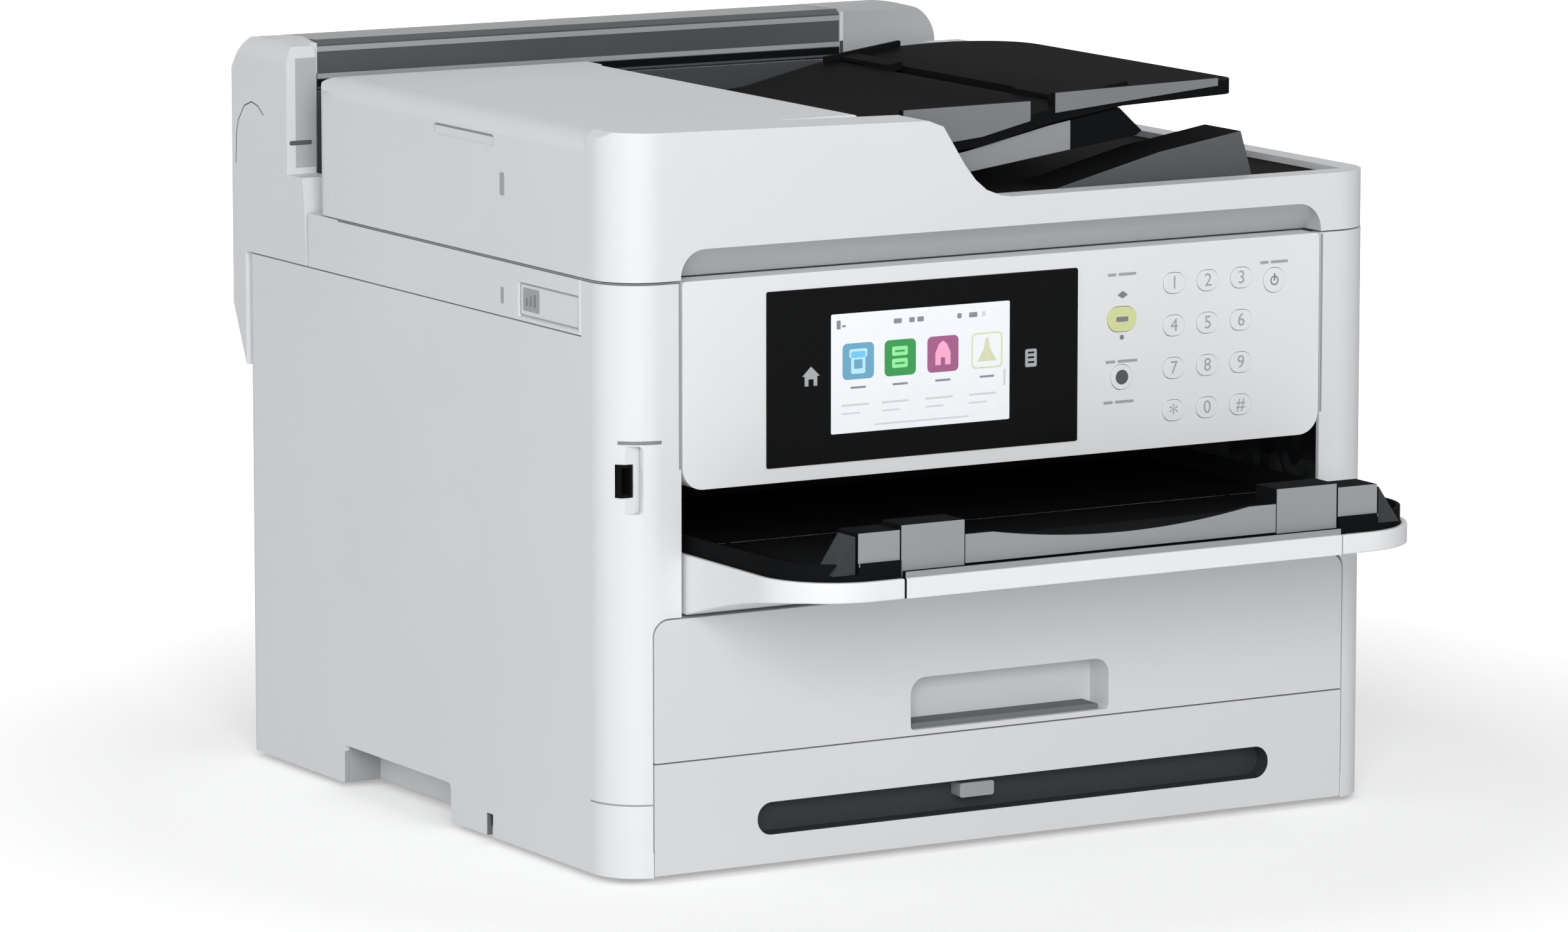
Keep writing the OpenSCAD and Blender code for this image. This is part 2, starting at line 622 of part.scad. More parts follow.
// Radius of the dip in its upper edge
dip_r = 420;
module paper_stopper() seated() color(grey) {
  difference() {
    union() {
      box(-stop_half + run, stop_half - run, stop_y[0], stop_y[0] + 3, tray_rim + 3.4, tray_rim + 17);
      box(-stop_half + run, stop_half - run, stop_y[0] + 2, stop_y[1] + 24, stop_hinge_z - 1.5,
          stop_hinge_z + 1.5);
    }
    translate([0, 0, tray_rim + 11 + dip_r]) rod_y(0, stop_y[0] - 1, stop_y[0] + 4, 0, dip_r);
  }
  rod_x(-stop_half - 5, stop_half + 5, stop_hinge_y, stop_hinge_z, pin_r - 1);
}

// ---- Scanner ----

glass_open_x = [-160, 152];
glass_open_y = [62, 292];
frame_t = 3;
arm_x = [150, 156];
scan_top = deck_h - seam;
module scanner_housing() seated() color(white) difference() {
  union() {
    difference() {
      along_z(scan_z, scan_top) pane(-half_w, half_w, pillar_d + seam, scan_rear, [1, 1, 1, 1]);
      box(-inner_w, inner_w, pillar_d + seam + wall, scan_rear - wall, scan_z + wall,
          scan_top - frame_t);
    }
    // Blocks that hold the hinge pins
    both_sides() box(frame_x - 10, frame_x - 1, scan_hinge_y - 4, scan_rear, scan_z + 1, scan_top - 1);
    both_sides() rod_x(frame_x - 2, frame_x + sheet + 2, scan_hinge_y, scan_hinge_z, pin_r);
    // Arms of the document cover's hinge
    both_sides() along_x(arm_x[0], arm_x[1]) {
      polygon([[scan_rear - 8, scan_z + 1], [scan_rear, scan_z + 1], [scan_rear, scan_top],
          [cover_hinge_y + 5.5, scan_top + 4],
        [cover_hinge_y + 5.5, cover_hinge_z], [cover_hinge_y - 5.5, cover_hinge_z],
            [cover_hinge_y - 5.5, scan_top],
        [scan_rear - 8, scan_top - 1]]);
      translate([cover_hinge_y, cover_hinge_z]) circle(5.5);
    }
  }
  box(glass_open_x[0], glass_open_x[1], glass_open_y[0], glass_open_y[1], scan_top - frame_t - 1, big);
  // Slots for the ears of the frame
  both_sides() box(frame_x - 1, frame_x + sheet + 1, scan_hinge_y - 10, scan_rear + 1, 0,
      scan_hinge_z - pin_r);
  both_sides() difference() {
    box(frame_x - 1, frame_x + sheet + 1, scan_hinge_y - 10, scan_rear + 1, scan_hinge_z - pin_r - 0.1,
        scan_hinge_z + 7.5);
    rod_x(frame_x - 2, frame_x + sheet + 2, scan_hinge_y, scan_hinge_z, pin_r);
  }
  both_sides() rod_x(arm_x[0] - 1, arm_x[1] + 1, cover_hinge_y, cover_hinge_z, bore_r);
  // Finger recess and its catch at the left side
  box(-half_w - 1, -half_w + 1.2, 36, 95, 258.5, 275);
}
module scanner_glass() seated() color("#aebfc6")
  box(glass_open_x[0] + 0.2, glass_open_x[1] - 0.2, glass_open_y[0] + 0.2, glass_open_y[1] - 0.2,
      scan_top - frame_t, scan_top);
module scan_carriage() seated() color("#2b2b2d") {
  box(-150, -116, glass_open_y[0] - 6, glass_open_y[1] + 6, scan_z + wall + 4, scan_top - frame_t - 1);
  rod_x(-150, -116, 180, scan_z + wall + 2.6, 2.2);
}

// ---- Document cover ----

cover_z = deck_h;
edge = half_w - 0.2;
adf_y = [29, cover_d - 24];
skirt_t = 2.6;
adf_z = 334;
bed_z = 303;
bed_x = [-60, 199];
bed_y = [14, adf_y[1] + 3];
front_top = 354;
s_curve = [[-44, front_top - 3.4], [-36, front_top - 6.5], [-30, 338], [-24, 328.5], [-18, 321],
    [-12, 316], [-4, 312.9]];
module cover_front_shape() polygon(concat([[-edge, cover_z], [-edge, front_top - 4], [-edge + 4,
    front_top - 0.2]],
                                          s_curve, [[2, bed_rim], [2, cover_z]]));
recess_w = bay;
module document_cover() seated() color(white) {
  difference() {
    union() {
      along_z(cover_z, bed_rim) cover_plan();
      // Tall front wall of the feeder
      intersection() {
        along_z(cover_z, front_top) cover_plan();
        along_y(0, adf_y[0] - 0.3) cover_front_shape();
      }
      // Left wall and rear strip of the feeder
      box(-edge + skirt_t + run, -edge + skirt_t + run + wall, adf_y[0] - 1, adf_y[1] + 1, cover_z,
          adf_z - 1.2);
      intersection() {
        along_z(cover_z, feeder_top) cover_plan();
        along_y(adf_y[1] + 0.3, cover_d) pane(-edge, feeder_edge + 4, cover_z, feeder_top, [0, 0,
            3, 10]);
        along_x(-half_w, half_w) pane(0, cover_d, 0, feeder_top, [0, 0, 12, 0]);
      }
      // Hinge post at the right
      box(arm_x[0] - 12, arm_x[1] + 12, adf_y[1] + 8, cover_d, bed_rim - 1, feeder_top - 4);
      both_sides() hinge_knuckles();
      // Rear boss of the document tray's hinge
      box(tray_pin_x - 7, tray_pin_x + 7, adf_y[1] - 12, adf_y[1] + 1, bed_rim - 1, tray_pin_z + 7);
    }
    // Hollow under the front wall and behind the rear strip
    box(-edge + 14, -52, 5, adf_y[0], bed_rim + 2, front_top - 8);
    // Place of the feeder cover's skirt
    box(-big, -edge + skirt_t + run, adf_y[0] - 0.3, adf_y[1] + 0.3, 0, adf_z);
    // Pocket of the backing mat
    box(mat_x[0] - run, mat_x[1] + run, mat_y[0] - run, mat_y[1] + run, cover_z - 1, cover_z + mat_t);
    // Well of the document bed
    box(bed_x[0], bed_x[1], bed_y[0], bed_y[1], bed_z, bed_rim + 0.01);
    // Finger recess over the control panel
    intersection() {
      along_y(-1, 15) pane(-recess_w, recess_w, cover_z - 30, cover_z + 14, [0, 0, 13, 13]);
      along_x(-big, big) polygon([[-1, cover_z - 1], [15.2, cover_z - 1], [14.2, cover_z],
        [0, cover_z + 14], [-1, cover_z + 14]]);
    }
    // Holes of the feeder cover's, the document tray's and the roller's pins
    rod_y(adf_pin_x, adf_y[0] - 6, adf_y[1] + 6, adf_pin_z, bore_r);
    rod_y(tray_pin_x, adf_y[0] - 6, adf_y[1] + 6, tray_pin_z, bore_r);
    rod_y(adf_roller_x, adf_y[0] - 6, adf_y[1] + 6, adf_roller_z, pin_r + pin_fit);
  }
}
module cover_plan() pane(-edge, edge, 0, cover_d, [front_r, front_r, 12, 12]);
module hinge_knuckles() difference() {
  union() {
    for (x = [arm_x[0] - 7, arm_x[1] + run]) {
      rod_x(x, x + 7 - run, cover_hinge_y, cover_hinge_z, 5.5);
      box(x, x + 7 - run, cover_d - 6, cover_hinge_y, cover_hinge_z - 5.5, cover_hinge_z + 5.5);
    }
    rod_x(arm_x[0] - 6, arm_x[1] + 6, cover_hinge_y, cover_hinge_z, pin_r);
  }
}
mat_x = [-166, 158];
mat_y = [56, cover_d - 9];
mat_t = 4;
module backing_mat() seated() color("white")
  box(mat_x[0], mat_x[1], mat_y[0], mat_y[1], cover_z + 0.2, cover_z + mat_t);

// Black bed that takes the scanned documents, with its ramps
bed_top = 309;
module ramp(y0, y1) along_y(y0, y1) polygon([[36, bed_top - 1], [46, bed_top + 1], [104, bed_top + 15],
                                            [151, bed_top + 22.5], [158, bed_top - 1]]);
module document_bed() seated() color(black) {
  difference() {
    box(bed_x[0] + 0.3, bed_x[1] - 0.3, bed_y[0] + 0.3, bed_y[1] - 0.3, bed_z, bed_top);
    box(tray_pin_x - 7.5, tray_pin_x + 7.5, adf_y[1] - 12.5, adf_y[1] + 4, 0, big);
  }
  ramp(30, 62);
  ramp(bed_y[1] - 60, bed_y[1] - 28);
  // Support of the document tray
  along_y(44, bed_y[1] - 24) polygon([[-46, 318], [4, 318.5], [100, 331], [103, 333], [90, 345], [50, 338.6],
      [4, 329], [-46, 321]]);
  along_y(120, 180) polygon([[-46, bed_top - 1], [-20, bed_top - 1], [-20, 319], [-46, 319]]);
}

adf_pin_x = feeder_edge - 6;
adf_pin_z = feeder_top - 7;
module adf_cover() seated() color(white) {
  difference() {
    union() {
      along_y(adf_y[0], adf_y[1]) pane(-edge, feeder_edge, adf_z, feeder_top, [0, 0, 2, 10]);
      box(-edge, -edge + skirt_t, adf_y[0], adf_y[1], cover_z, adf_z + 1);
    }
    along_y(adf_y[0] + wall, adf_y[1] - wall)
      pane(-edge + wall, feeder_edge - wall, adf_z - 1, feeder_top - wall, [0, 0, 1, 7]);
    // Finger notch
    along_x(-half_w - 1, -edge + 1.3) pane(119, 180, 336.5, 342, [1, 1, 2, 2]);
    box(adf_pin_x - 6, big, -1, big, 0, adf_pin_z - 5);
  }
  rod_y(adf_pin_x, adf_y[0] - 5, adf_y[1] + 5, adf_pin_z, pin_r);
}

adf_roller_x = -96;
adf_roller_z = 324;
module adf_roller() seated() color("#6d6f72") {
  rod_y(adf_roller_x, adf_y[0] - 5, adf_y[1] + 5, adf_roller_z, pin_r);
  rod_y(adf_roller_x, 120, 180, adf_roller_z, 10);
}

// Document tray, hinged at the feeder
tray_pin_x = -54;
tray_pin_z = 326.5;
tray_top = [[-50, 332.5], [10, 338], [50, 347], [90, 353], [doc_tray_end, 355.5]];
tray_t = 7;
function tray_level(x) = lookup(x, tray_top);
doc_y = [40, bed_y[1] - 18];
rim_drop = 2.2;
tray_front_r = 12;
function rim_foot(x) = [x, tray_level(x) - rim_drop];
module tray_rim(points) along_y(doc_y[0], doc_y[0] + 4) polygon(points);
module document_tray() seated() color(black) difference() {
  union() {
    intersection() {
      along_y(doc_y[0] + 1.5, doc_y[1]) polygon(concat(tray_top, [for (i = [len(tray_top) - 1:-1:0])
        [tray_top[i][0], tray_top[i][1] - tray_t]]));
      along_z(0, big) pane(-50, doc_tray_end, doc_y[0], doc_y[1], [1, tray_front_r, 44, 1]);
    }
    box(-58, -48, doc_y[0], doc_y[1], tray_pin_z - 3, tray_pin_z + 5.5);
    rod_y(tray_pin_x, doc_y[0] - 15, doc_y[1] + 7, tray_pin_z, pin_r);
    // Raised rims along the front, with a notch between them
    tray_rim([rim_foot(-34), [-34, 351], [37, 351.4], rim_foot(37), rim_foot(10)]);
    tray_rim([rim_foot(51), [51, 354.6], [doc_tray_end - tray_front_r, 356.6],
      rim_foot(doc_tray_end - tray_front_r)]);
  }
  box(-big, -30, adf_y[1] - 13, big, 0, tray_pin_z - 4);
  // Grooves in which the guides slide
  box(60, 70, doc_y[0] + 30, doc_y[1] - 30, 340, big);
}
guide_x = [52, 96];
guide_fin = 4;
module document_guide(y0, y1, heel) color(grey) {
  along_y(y0, y1) polygon([[guide_x[0], tray_level(guide_x[0]) + run], [90, tray_level(90) + run],
    [guide_x[1], tray_level(guide_x[1]) + run], [guide_x[1], tray_level(guide_x[1]) + guide_fin],
    [guide_x[0], tray_level(guide_x[0]) + guide_fin]]);
  along_y(min(y0, heel), max(y1, heel + 24)) polygon([[60.5, tray_level(60.5) + run],
    [69.5, tray_level(69.5) + run], [69.5, tray_level(69.5) + 2.6], [60.5, tray_level(60.5) + 2.6]]);
  along_y(heel, heel + 24) polygon([[60.5, tray_level(60.5) - 1.8], [69.5, tray_level(69.5) - 1.8],
    [69.5, tray_level(69.5) + 1], [60.5, tray_level(60.5) + 1]]);
}
module document_guide_front() seated() document_guide(doc_y[0] + 6, doc_y[0] + 9, doc_y[0] + 31);
module document_guide_rear() seated() document_guide(doc_y[1] - 9, doc_y[1] - 6, doc_y[1] - 55);

// ---- Rear feeder ----

cheek_y = body_d - 46.5;
wall_y = body_d - 42;
chute_y = [wall_y + wall, body_d - 6];
rear_y = body_d + overhang;
cheek_x = half_w - 16.2;
right_end = half_w - 47.5;
module cheek_side() {
  polygon([[scan_rear + 1, scan_z], [rear_y - 14.5 + 0.4, scan_z], [body_d + 0.4, 199], [rear_y, 229],
    [rear_y, rear_top - 18], [rear_y - 12, rear_top - 2], [rear_y - 40, rear_top], [cheek_y + 3,
        rear_top - 3],
    [cheek_y, rear_top - 7], [cheek_y, deck_h + 16], [scan_rear + 5, deck_h + 16],
        [scan_rear + 2.8, deck_h]]);
}
module housing_side() {
  polygon([[wall_y, scan_z], [body_d + 0.4, scan_z], [body_d + 0.4, 199], [rear_y, 229],
    [rear_y, rear_top - 18], [rear_y - 12, rear_top - 2], [rear_y - 40, rear_top], [wall_y,
        rear_top - 2]]);
}
module feeder_housing() seated() color(white) difference() {
  union() {
    intersection() {
      union() {
        along_x(-half_w, -cheek_x) cheek_side();
        along_x(-cheek_x - 0.7, right_end) housing_side();
      }
      along_y(0, big) pane(-half_w, right_end, 0, rear_top, [0, 0, 20, 12]);
    }
    intersection() {
      union() {
        along_x(right_end - 1, cheek_x + 3.7) housing_side();
        along_x(cheek_x + 3.5, half_w) cheek_side();
      }
      along_z(0, bed_rim) translate([-big, 0]) square(2 * big);
    }
  }
  // Chute of the rear feeder
  box(flap_x0, flap_x1, chute_y[0], chute_y[1], scan_z - 1, big);
  // Seat of the flap
  box(flap_x0, flap_x1, wall_y - 1, rear_y - 6, rear_top - 8, big);
  box(flap_x0, flap_x1, wall_y - 1, wall_y + 4, rear_top - 26, big);
  // Hollow at the right of the chute
  box(flap_x1 + 4, inner_w - 1, wall_y + wall, body_d - 2, scan_z - 1, bed_rim - wall);
  both_sides_of_flap() rod_x(-6, 1, flap_hinge_y, flap_hinge_z, 2 + pin_fit);
}
module both_sides_of_flap() {
  translate([flap_x0, 0, 0]) children();
  translate([flap_x1, 0, 0]) mirror([1, 0, 0]) children();
}
flap_hinge_y = rear_y - 11;
flap_hinge_z = rear_top - 5;
module feeder_flap() seated() color("#55585c") {
  along_x(flap_x0 + run, flap_x1 - run) polygon([[wall_y + run, rear_top - 25], [wall_y + 3,
      rear_top - 25],
    [wall_y + 3.5, rear_top - 5], [flap_hinge_y, rear_top - 7], [flap_hinge_y + 2.5, rear_top - 5],
        [flap_hinge_y + 2.5, rear_top - 3],
    [flap_hinge_y, rear_top - 2.2], [wall_y + 3, rear_top - 0.6], [wall_y + run, rear_top - 3]]);
  rod_x(flap_x0 - 5, flap_x1 + 5, flap_hinge_y, flap_hinge_z, 2);
}

base_pan();
rubber_feet();
left_cover();
right_cover();
rear_panel();
chassis_frame();
output_bay();
output_tray();
tray_liner();
guide_rail();
platen();
power_supply();
main_board();
power_inlet();
usb_port();
ink_tray();
ink_pack();
screws();
feeder_housing();
ink_cover();
cassette_tray();
cassette_front();
guide_left();
guide_right();
length_guide();
lift_plate();
panel_shell();
panel_glass();
key_1();
key_2();
key_3();
key_4();
key_5();
key_6();
key_7();
key_8();
key_9();
key_star();
key_0();
key_hash();
start_key();
stop_key();
power_key();
tray_extension();
paper_stopper();
scanner_housing();
scanner_glass();
scan_carriage();
document_cover();
document_bed();
backing_mat();
adf_cover();
document_tray();
document_guide_front();
document_guide_rear();
adf_roller();
feeder_flap();
rear_cover();
print_carriage();
feed_roller();
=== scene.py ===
"""Looks of an office inkjet multifunction printer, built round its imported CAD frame."""

import json
import logging
import math
from dataclasses import dataclass, field
from enum import Enum
from typing import Callable, Optional, Sequence

import bmesh
import bpy
from mathutils import Matrix, Vector

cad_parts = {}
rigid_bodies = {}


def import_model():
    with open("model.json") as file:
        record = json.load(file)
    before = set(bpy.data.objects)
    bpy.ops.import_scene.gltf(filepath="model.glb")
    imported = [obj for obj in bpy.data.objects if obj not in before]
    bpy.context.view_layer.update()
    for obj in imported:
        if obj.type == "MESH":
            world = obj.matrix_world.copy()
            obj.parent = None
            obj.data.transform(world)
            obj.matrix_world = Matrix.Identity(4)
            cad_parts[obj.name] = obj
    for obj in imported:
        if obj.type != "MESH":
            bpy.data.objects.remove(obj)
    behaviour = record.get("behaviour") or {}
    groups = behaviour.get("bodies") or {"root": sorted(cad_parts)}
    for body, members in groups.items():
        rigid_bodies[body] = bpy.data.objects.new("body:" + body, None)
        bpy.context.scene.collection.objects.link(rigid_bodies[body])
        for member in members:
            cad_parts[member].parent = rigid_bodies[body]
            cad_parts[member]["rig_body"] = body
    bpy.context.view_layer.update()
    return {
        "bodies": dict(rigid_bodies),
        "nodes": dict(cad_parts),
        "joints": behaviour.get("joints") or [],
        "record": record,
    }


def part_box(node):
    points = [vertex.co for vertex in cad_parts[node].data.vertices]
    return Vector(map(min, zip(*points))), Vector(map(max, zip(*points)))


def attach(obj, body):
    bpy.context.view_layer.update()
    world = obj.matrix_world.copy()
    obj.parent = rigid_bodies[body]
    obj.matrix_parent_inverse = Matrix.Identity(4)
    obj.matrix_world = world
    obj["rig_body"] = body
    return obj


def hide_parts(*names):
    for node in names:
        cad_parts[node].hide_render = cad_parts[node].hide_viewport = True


LOG = logging.getLogger("printer")
MM = 0.001
# Front face of the lower body in the row frame, in metres
FRONT_Y = -0.1605
# How far a print or a shadow gap stands off its surface, in millimetres
HAIR = 0.03
# Height of a capital as a share of the size of the type
CAPITAL = 0.72
# Cosine above which a face counts as facing a direction
FACING_LIMIT = 0.7

# A point of an outline, a low and a high value, a corner (across, in depth, up), the low and the
# high corner of a box, and the left, right, low and high side of an outline
Point2 = tuple[float, float]
Span = tuple[float, float]
Corner = tuple[float, float, float]
Box = tuple[Corner, Corner]
Rect = tuple[float, float, float, float]
Colour = tuple[float, float, float, float]

FORWARD: Corner = (0.0, -1.0, 0.0)
LEFTWARD: Corner = (-1.0, 0.0, 0.0)


def at(x: float, depth: float, z: float) -> Vector:
    """Gives a place in the row frame.

    Args:
        x: Millimetres to the right of the middle.
        depth: Millimetres behind the front of the body.
        z: Millimetres above the floor.

    Returns:
        The place in metres.
    """
    return Vector((x * MM, depth * MM + FRONT_Y, z * MM))


class Side(Enum):
    """A side of a node's box: the corner that it is in, and the axis that it lies on."""

    LEFT = (0, 0)
    RIGHT = (1, 0)
    FRONT = (0, 1)
    REAR = (1, 1)
    TOP = (1, 2)


def side_of(node: str, side: Side) -> float:
    """Measures where a node of the frame ends.

    Args:
        node: Name of the CAD node.
        side: The side that is measured.

    Returns:
        Its place across, in depth or up, in millimetres.
    """
    corner, axis = side.value
    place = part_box(node)[corner]
    return round((place.x, place.y - FRONT_Y, place.z)[axis] / MM, 3)


def from_frame(node: str, side: Side) -> float:
    """Gives a field of a class that is measured when an object of it is made.

    Args:
        node: Name of the CAD node.
        side: The side that is measured.

    Returns:
        The field.
    """
    return field(default_factory=lambda: side_of(node, side))


def linear(code: str) -> Colour:
    """Turns an sRGB hex value to a linear colour.

    Args:
        code: Six hex digits after a hash.

    Returns:
        Linear red, green, blue and an alpha of one.
    """
    parts = [int(code[i : i + 2], 16) / 255 for i in (1, 3, 5)]
    light = [c / 12.92 if c <= 0.04045 else ((c + 0.055) / 1.055) ** 2.4 for c in parts]
    return (light[0], light[1], light[2], 1.0)


def add_node(
    tree: bpy.types.NodeTree,
    kind: str,
    values: Optional[dict] = None,
    links: Optional[dict] = None,
    feeds: Optional[dict] = None,
    **settings: object,
) -> bpy.types.Node:
    """Adds a node with its settings, values and links.

    Args:
        tree: The tree that gets the node.
        kind: The node's type name after ShaderNode.
        values: Input names or numbers with their values.
        links: Input names or numbers with the sockets that feed them.
        feeds: Output names or numbers with the sockets that they feed.
        **settings: Properties of the node itself.

    Returns:
        The new node.
    """
    node = tree.nodes.new("ShaderNode" + kind)
    for name, value in settings.items():
        setattr(node, name, value)
    for key, value in (values or {}).items():
        node.inputs[key].default_value = value
    for key, source in (links or {}).items():
        tree.links.new(source, node.inputs[key])
    for key, target in (feeds or {}).items():
        tree.links.new(node.outputs[key], target)
    return node


# ---- Finishes ----


@dataclass(frozen=True)
class Finish:
    """A surface that is named for its material and process, and for the light or shade that it paints
    where it does.
    """

    name: str
    slot: str

    def material(self) -> bpy.types.Material:
        """Gives the finish as a material, made on its first use.

        Returns:
            The material.
        """
        found = bpy.data.materials.get(self.name)
        if found is not None:
            return found
        made = bpy.data.materials.new(self.name)
        made.use_nodes = True
        self.dress(made.node_tree, made.node_tree.nodes["Principled BSDF"])
        return made

    def dress(self, tree: bpy.types.NodeTree, skin: bpy.types.Node) -> None:
        """Sets the surface up. Each kind of finish has its own way."""
        raise NotImplementedError


@dataclass(frozen=True)
class MouldedPlastic(Finish):
    """Injection-moulded ABS or polystyrene with a spark-eroded grain from its mould."""

    colour: str = "#e6e6e6"
    shade: str = "#dcdcdd"
    roughness: float = 0.45
    grain_mm: float = 0.9
    grain_depth_mm: float = 0.03
    sheen: float = 0.5
    flow_mm: float = 90.0
    ior: float = 1.5
    grain_strength: float = 0.5
    spread: float = 0.06

    def dress(self, tree: bpy.types.NodeTree, skin: bpy.types.Node) -> None:
        """Adds the mould grain, the slow drift of tone along the melt flow and a soft sheen.

        Args:
            tree: The material's nodes.
            skin: Its surface node.
        """
        skin.inputs["IOR"].default_value = self.ior
        skin.inputs["Specular IOR Level"].default_value = self.sheen
        place = {"Vector": add_node(tree, "TexCoord").outputs["Object"]}
        flow = add_node(
            tree, "TexNoise", {"Scale": 1 / (self.flow_mm * MM), "Detail": 2.0, "Roughness": 0.5},
            place,
        )
        add_node(
            tree, "MixRGB", {"Color1": linear(self.colour), "Color2": linear(self.shade)},
            {"Fac": flow.outputs["Fac"]}, {"Color": skin.inputs["Base Color"]},
        )
        # The real grain is 0.1 to 0.2 mm; it is drawn coarser so that it shows
        grain = add_node(
            tree, "TexNoise", {"Scale": 1 / (self.grain_mm * MM), "Detail": 3.0, "Roughness": 0.6},
            place,
        )
        add_node(
            tree, "Bump", {"Strength": self.grain_strength, "Distance": self.grain_depth_mm * MM},
            {"Height": grain.outputs["Fac"]}, {"Normal": skin.inputs["Normal"]},
        )
        add_node(
            tree, "MapRange",
            {"To Min": self.roughness - self.spread, "To Max": self.roughness + self.spread},
            {"Value": grain.outputs["Fac"]}, {"Result": skin.inputs["Roughness"]},
        )


@dataclass(frozen=True)
class PolishedPlastic(Finish):
    """Acrylic or polycarbonate from a polished mould, with a faint orange peel."""

    colour: str = "#0c0c0d"
    roughness: float = 0.08
    peel_mm: float = 6.0
    coat: float = 0.0
    glow: float = 0.0
    sheen: float = 0.5
    ior: float = 1.49
    coat_roughness: float = 0.03
    peel_depth_mm: float = 0.01
    peel_strength: float = 0.1
    deepening: float = 0.93
    wiping: Span = (0.8, 1.3)

    def dress(self, tree: bpy.types.NodeTree, skin: bpy.types.Node) -> None:
        """Adds the gloss and the long ripple that bends its reflections.

        Args:
            tree: The material's nodes.
            skin: Its surface node.
        """
        skin.inputs["IOR"].default_value = self.ior
        skin.inputs["Specular IOR Level"].default_value = self.sheen
        skin.inputs["Coat Weight"].default_value = self.coat
        skin.inputs["Coat Roughness"].default_value = self.coat_roughness
        skin.inputs["Emission Color"].default_value = linear(self.colour)
        skin.inputs["Emission Strength"].default_value = self.glow
        place = add_node(tree, "TexCoord").outputs["Object"]
        peel = add_node(
            tree, "TexNoise", {"Scale": 1 / (self.peel_mm * MM), "Detail": 1.0}, {"Vector": place}
        )
        red, green, blue, _ = linear(self.colour)
        deep = (red * self.deepening, green * self.deepening, blue * self.deepening, 1.0)
        add_node(
            tree, "MixRGB", {"Color1": (red, green, blue, 1.0), "Color2": deep},
            {"Fac": peel.outputs["Fac"]}, {"Color": skin.inputs["Base Color"]},
        )
        add_node(
            tree, "Bump", {"Strength": self.peel_strength, "Distance": self.peel_depth_mm * MM},
            {"Height": peel.outputs["Fac"]}, {"Normal": skin.inputs["Normal"]},
        )
        low, high = self.wiping
        add_node(
            tree, "MapRange", {"To Min": self.roughness * low, "To Max": self.roughness * high},
            {"Value": peel.outputs["Fac"]}, {"Result": skin.inputs["Roughness"]},
        )


@dataclass(frozen=True)
class PadPrint(Finish):
    """Ink laid on by a silicone pad: flat, thin and a little uneven."""

    colour: str = "#8e9196"
    ground: str = "#d8d8d8"
    speck_mm: float = 0.6
    thinning: float = 0.25

    def dress(self, tree: bpy.types.NodeTree, skin: bpy.types.Node) -> None:
        """Adds the thin spots that ink leaves on a grained surface.

        Args:
            tree: The material's nodes.
            skin: Its surface node.
        """
        skin.inputs["IOR"].default_value = 1.5
        skin.inputs["Roughness"].default_value = 0.55
        place = add_node(tree, "TexCoord").outputs["Object"]
        # The real spots are as fine as the grain; they are drawn coarser so that they show
        spots = add_node(tree, "TexNoise", {"Scale": 1 / (self.speck_mm * MM)}, {"Vector": place})
        thin = add_node(
            tree, "Math", {1: self.thinning}, {0: spots.outputs["Fac"]}, operation="MULTIPLY"
        )
        add_node(
            tree, "MixRGB", {"Color1": linear(self.colour), "Color2": linear(self.ground)},
            {"Fac": thin.outputs[0]}, {"Color": skin.inputs["Base Color"]},
        )


@dataclass(frozen=True)
class GalvanisedSteel(Finish):
    """Pressed zinc-coated sheet: grey metal with a spangle of zinc crystals."""

    colour: str = "#b4b8bb"
    roughness: float = 0.38
    spangle_mm: float = 7.0
    tinge: float = 0.12
    spread: Span = (-0.08, 0.1)

    def dress(self, tree: bpy.types.NodeTree, skin: bpy.types.Node) -> None:
        """Adds the crystals, each with its own tone and polish.

        Args:
            tree: The material's nodes.
            skin: Its surface node.
        """
        skin.inputs["Metallic"].default_value = 1.0
        place = add_node(tree, "TexCoord").outputs["Object"]
        cells = add_node(
            tree, "TexVoronoi", {"Scale": 1 / (self.spangle_mm * MM)}, {"Vector": place}
        )
        add_node(
            tree, "MixRGB", {"Fac": self.tinge, "Color1": linear(self.colour)},
            {"Color2": cells.outputs["Color"]}, {"Color": skin.inputs["Base Color"]},
        )
        low, high = self.spread
        add_node(
            tree, "MapRange", {"To Min": self.roughness + low, "To Max": self.roughness + high},
            {"Value": cells.outputs["Color"]}, {"Result": skin.inputs["Roughness"]},
        )


@dataclass(frozen=True)
class GroundRubber(Finish):
    """Nitrile rubber, ground to size: matt, with the fine scratches of the wheel."""

    colour: str = "#2a2a2b"
    scratch_mm: float = 0.5
    scratch_depth_mm: float = 0.05

    def dress(self, tree: bpy.types.NodeTree, skin: bpy.types.Node) -> None:
        """Adds the grinding marks and the matt skin.

        Args:
            tree: The material's nodes.
            skin: Its surface node.
        """
        skin.inputs["IOR"].default_value = 1.52
        skin.inputs["Roughness"].default_value = 0.82
        skin.inputs["Base Color"].default_value = linear(self.colour)
        place = add_node(tree, "TexCoord").outputs["Object"]
        # The wheel's grit is about 0.1 mm; its marks are drawn coarser so that they show
        marks = add_node(
            tree, "TexNoise", {"Scale": 1 / (self.scratch_mm * MM), "Detail": 4.0}, {"Vector": place}
        )
        add_node(
            tree, "Bump", {"Strength": 0.6, "Distance": self.scratch_depth_mm * MM},
            {"Height": marks.outputs["Fac"]}, {"Normal": skin.inputs["Normal"]},
        )


